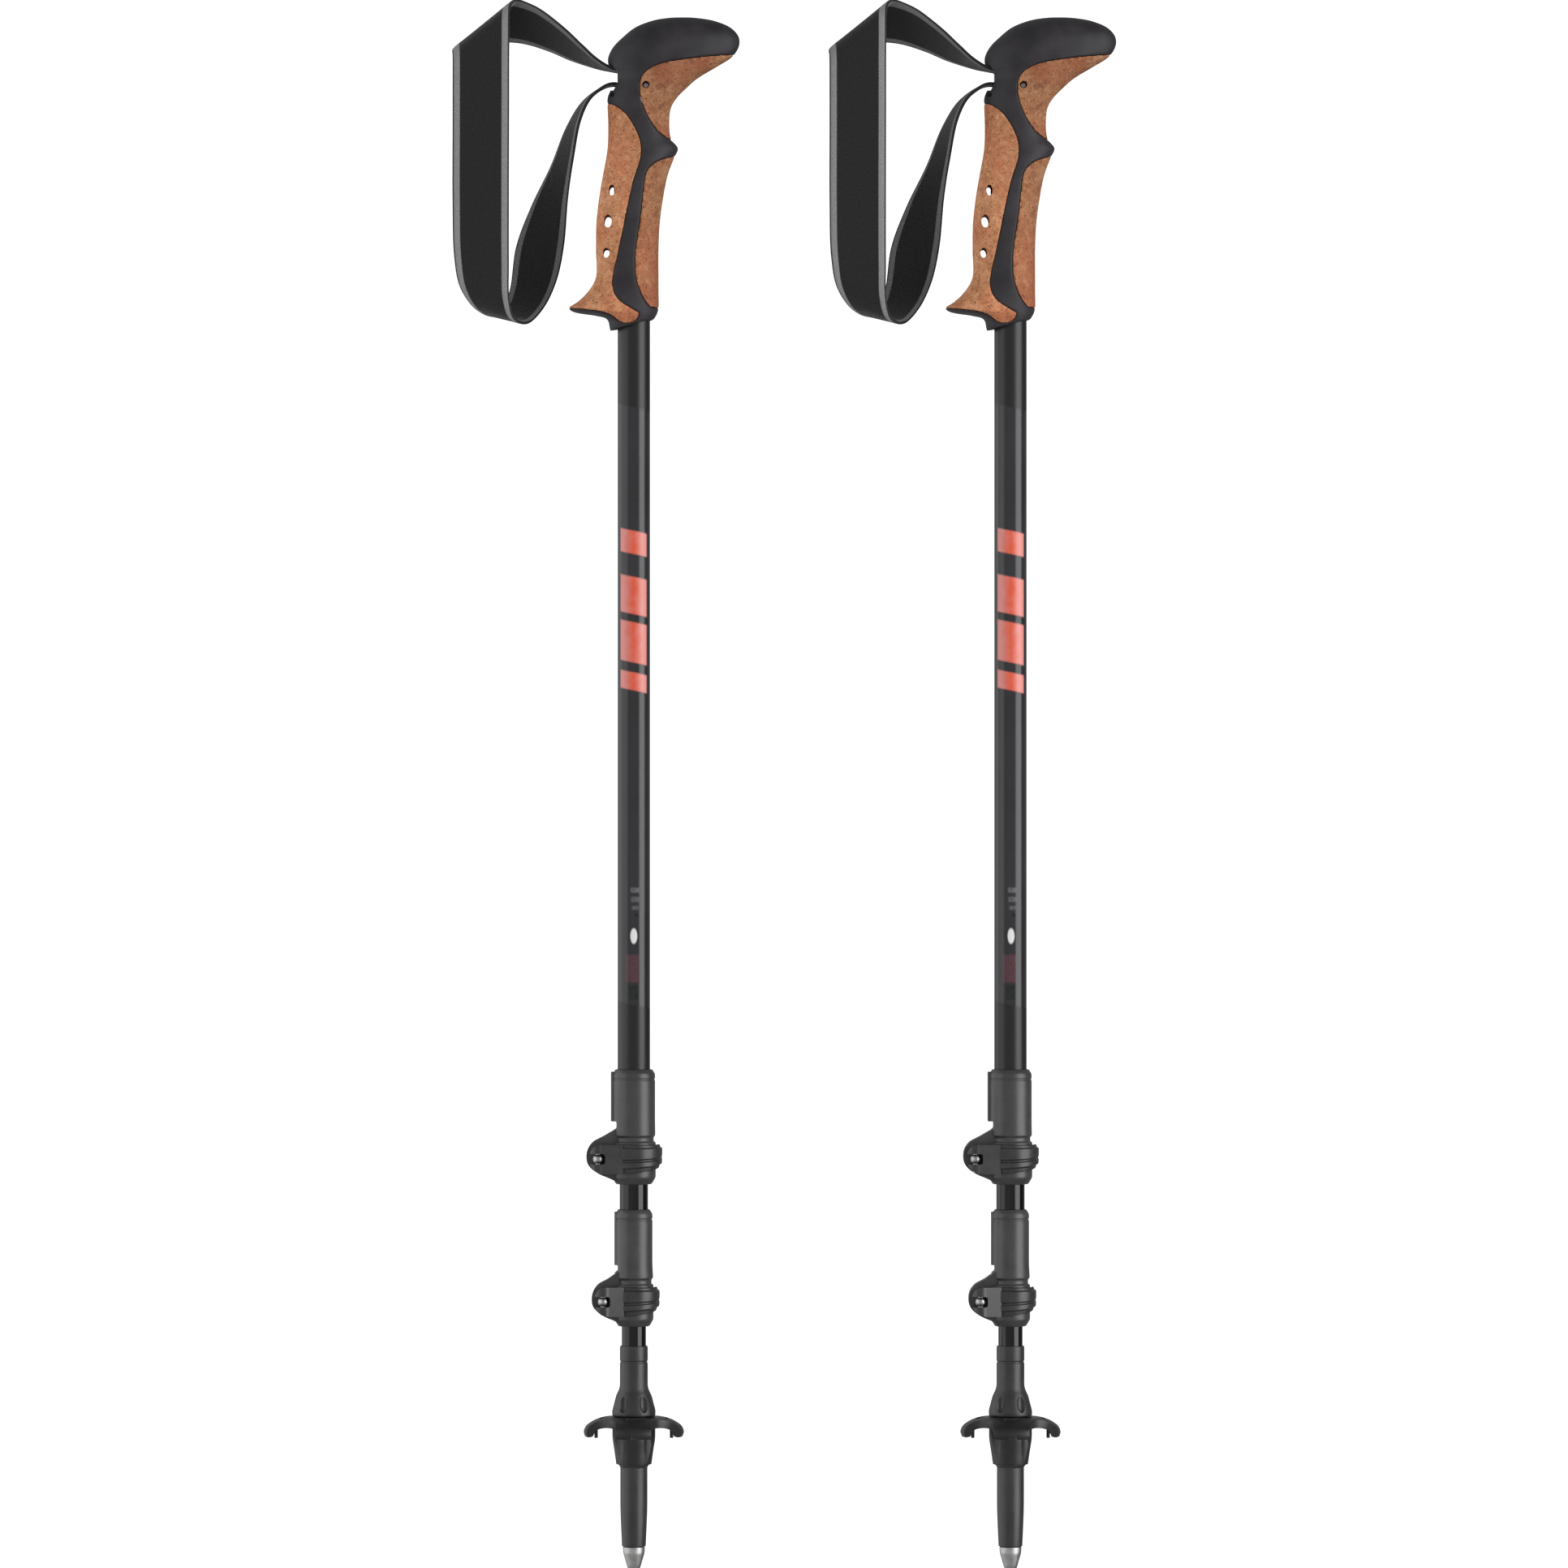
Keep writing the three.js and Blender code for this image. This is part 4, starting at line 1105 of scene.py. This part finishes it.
def basket_profile():
    """The hub below and the arched plate with its lip."""
    top, bottom, hub, rim = BASKET.top, BASKET.bottom, BASKET.hub_r, BASKET.rim_r
    outline = [
        [BASKET.bore, bottom, 0.2], [8.7, bottom, 0.4], [9.6, bottom + 6.6, 3],
        [hub, bottom + 12.6, 2], [hub, top - 4.9, 1.4], [17, top - 4.7, 2],
        [20.6, top - 6.2, 1.6], [21.8, top - 9.4, 0.5], [24.2, top - 9.9, 0.8],
        [rim, top - 7.2, 1.2], [rim - 1.2, top - 4.4, 2], [20, top - 1.8, 4],
        [15.2, top - 0.1, 3], [BASKET.bore, top, 0.3],
    ]
    return fillet(outline, 1.0, 5)


def basket_cuts(lobe):
    """What is cut from one lobe and beside it.

    Beside the lobe go a scallop in the plate and a groove in the hub. In the lobe go a window
    and the notch in its lip.
    """
    top, bottom = BASKET.top, BASKET.bottom
    beside = math.radians(lobe + 180 / BASKET.lobes)
    outwards = np.array([math.cos(beside), math.sin(beside)])
    along = np.array([-outwards[1], outwards[0]])
    scallop = arc(*(29.2 * outwards), 12, 0, 355, 71)
    groove = arc(0, 0, 1, 0, 350, 35) * [3.2, 2.2] @ np.array([along, outwards]) + 11.2 * outwards
    outer, inner = arc(0, 0, 17, lobe - 17, lobe + 17, 8), arc(0, 0, 12.6, lobe + 14, lobe - 14, 6)
    window = np.vstack([outer, inner])
    outer, inner = arc(0, 0, 30, lobe - 6, lobe + 6, 1), arc(0, 0, 20.8, lobe + 7, lobe - 7, 1)
    notch = np.vstack([outer, inner])
    return [
        prism("scallop", scallop, "Z", 60, 90),
        prism("window", fillet(window, 0.8), "Z", 60, 90),
        prism("notch", fillet(notch, 0.8), "Z", top - 12, top - 8.2),
        prism("groove", groove, "Z", bottom + 1.6, top - 6.4),
    ]


def basket():
    body = lathe("basket", basket_profile(), 192)
    for k in range(BASKET.lobes):
        lobe = 360 * k / BASKET.lobes
        cut(body, *basket_cuts(lobe))
        a = math.radians(lobe)
        centre = (18.6 * math.cos(a), 18.6 * math.sin(a), BASKET.top - 7.3)
        join(body, bar("stud", 0.9, 6.6, "Z", centre, 0.4, 24))
    bevelled(body, 0.45, 3, 50)
    fine(shaded(body, 50), "basket", "basket", "basket")


# ---- the rest of the poles
def guide_bushes():
    """The guide bushes inside the tubes keep their own shape."""
    for side in POLES:
        for section in ("middle", "lower"):
            dress(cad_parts[f"{side}_{section}_guide_bush"], "bush")


# ---- studio
# The white cove all round the poles, in metres. It is wide and deep enough for the poles at
# their longest, which reach far below their collapsed tips.
COVE = Sizes(floor=-7.0, radius=24.0, bend=4.0, top=40.0)


def backdrop():
    """A pale round floor that bends up all round into a wall, clear of every camera."""
    floor, wide, top = COVE.floor, COVE.radius, COVE.top
    bend = arc(wide - COVE.bend, floor + COVE.bend, COVE.bend, -90, 0, 16)
    back = [[wide + 0.1, top], [wide + 0.1, floor - 0.1], [0, floor - 0.1]]
    outline = np.array([[0, floor], *bend, [wide, top], *back])
    obj = shaded(lathe("studio_floor", outline / MM, 96), 60)
    obj.location.x = PAIR_SPACING / 2 * MM
    obj.visible_diffuse = False
    obj.visible_glossy = False
    obj.visible_shadow = False
    g = Graph("studio_paper")
    tone = g.mottled(g.noise(60.0, 2.0), (0.80, 0.80, 0.80), (0.82, 0.82, 0.82))
    obj.data.materials.append(g.finish(Base_Color=tone, Roughness=0.9, Specular_IOR_Level=0.1))
    g.shader.inputs["Emission Color"].default_value = (1, 1, 1, 1)
    g.shader.inputs["Emission Strength"].default_value = 0.9


# Each softbox: its compass turn from the camera in degrees, distance, height, width and
# height of its face in metres, and how bright its face is.
SOFTBOXES = {
    "left_softbox": (-84, 1.9, 0.55, 3.0, 2.6, 1.2),
    "right_strip": (60, 2.3, 0.55, 1.8, 2.6, 4.3),
}


# How bright the studio's own soft light is on each side of the poles.
AIR = Sizes(left=0.36, right=0.04, front=0.33, back=0.24)


def softbox(name, turn, distance, height, wide, tall, brightness):
    data = bpy.data.lights.new(name, "AREA")
    data.shape = "RECTANGLE"
    data.size, data.size_y = wide, tall
    data.energy = brightness * math.pi * wide * tall
    obj = in_scene(name, data)
    target = Vector((PAIR_SPACING / 2 * MM, 0, 0.42))
    a = math.radians(turn)
    obj.location = (target.x + distance * math.sin(a), -distance * math.cos(a), height)
    obj.rotation_euler = (target - obj.location).to_track_quat("-Z", "Y").to_euler()


def studio():
    """Two softboxes, and air that is brightest to the left of the poles and in front of them."""
    scene = bpy.context.scene
    backdrop()
    for name, setting in SOFTBOXES.items():
        softbox(name, *setting)
    world = bpy.data.worlds.new("studio_air")
    scene.world = world
    world.use_nodes = True
    g = Graph(tree=world.node_tree)
    x, y = g.node("SeparateXYZ", {0: g.node("TexCoord").outputs["Generated"]}).outputs[:2]
    sides = g.step(x, -0.8, 0.8, AIR.left, AIR.right)
    front = g.math("POWER", g.math("MULTIPLY", y, -1.0, clamp=True), 2.0)
    back = g.math("POWER", g.math("MAXIMUM", y, 0.0), 2.0)
    strength = g.times(front, AIR.front, sides)
    strength = g.times(back, AIR.back, strength)
    background = world.node_tree.nodes["Background"]
    background.inputs["Color"].default_value = (1, 1, 1, 1)
    g.feed(background.inputs["Strength"], strength)
    scene.view_settings.view_transform = "Standard"


def camera():
    """Level with the poles' middle, square on to the pair, through a long lens."""
    data = bpy.data.cameras.new("camera")
    data.lens = 200
    data.sensor_width = 36
    data.clip_end = 60
    obj = in_scene("camera", data)
    obj.location = (0.0740, -4.2933, 0.3916)
    obj.rotation_euler = (math.pi / 2, 0, 0)
    bpy.context.scene.camera = obj


# ---- build
camera()
studio()
grip_pieces()
strap_wedge()
strap()
tube("upper_tube", UPPER_TUBE, "upper", "upper_tube")
tube("middle_tube", MIDDLE_TUBE, "middle", "inner_tube")
tube("lower_tube", LOWER_TUBE, "lower", "inner_tube")
for which, lock in LOCKS.items():
    lock_housing(f"{which}_lock_housing", lock)
    lock_lever(f"{which}_lock_lever", lock, f"{which}_lever")
    lock_fasteners(f"{which}_lock", lock)
tip_body()
tip_ferrule()
carbide_point()
basket()
guide_bushes()
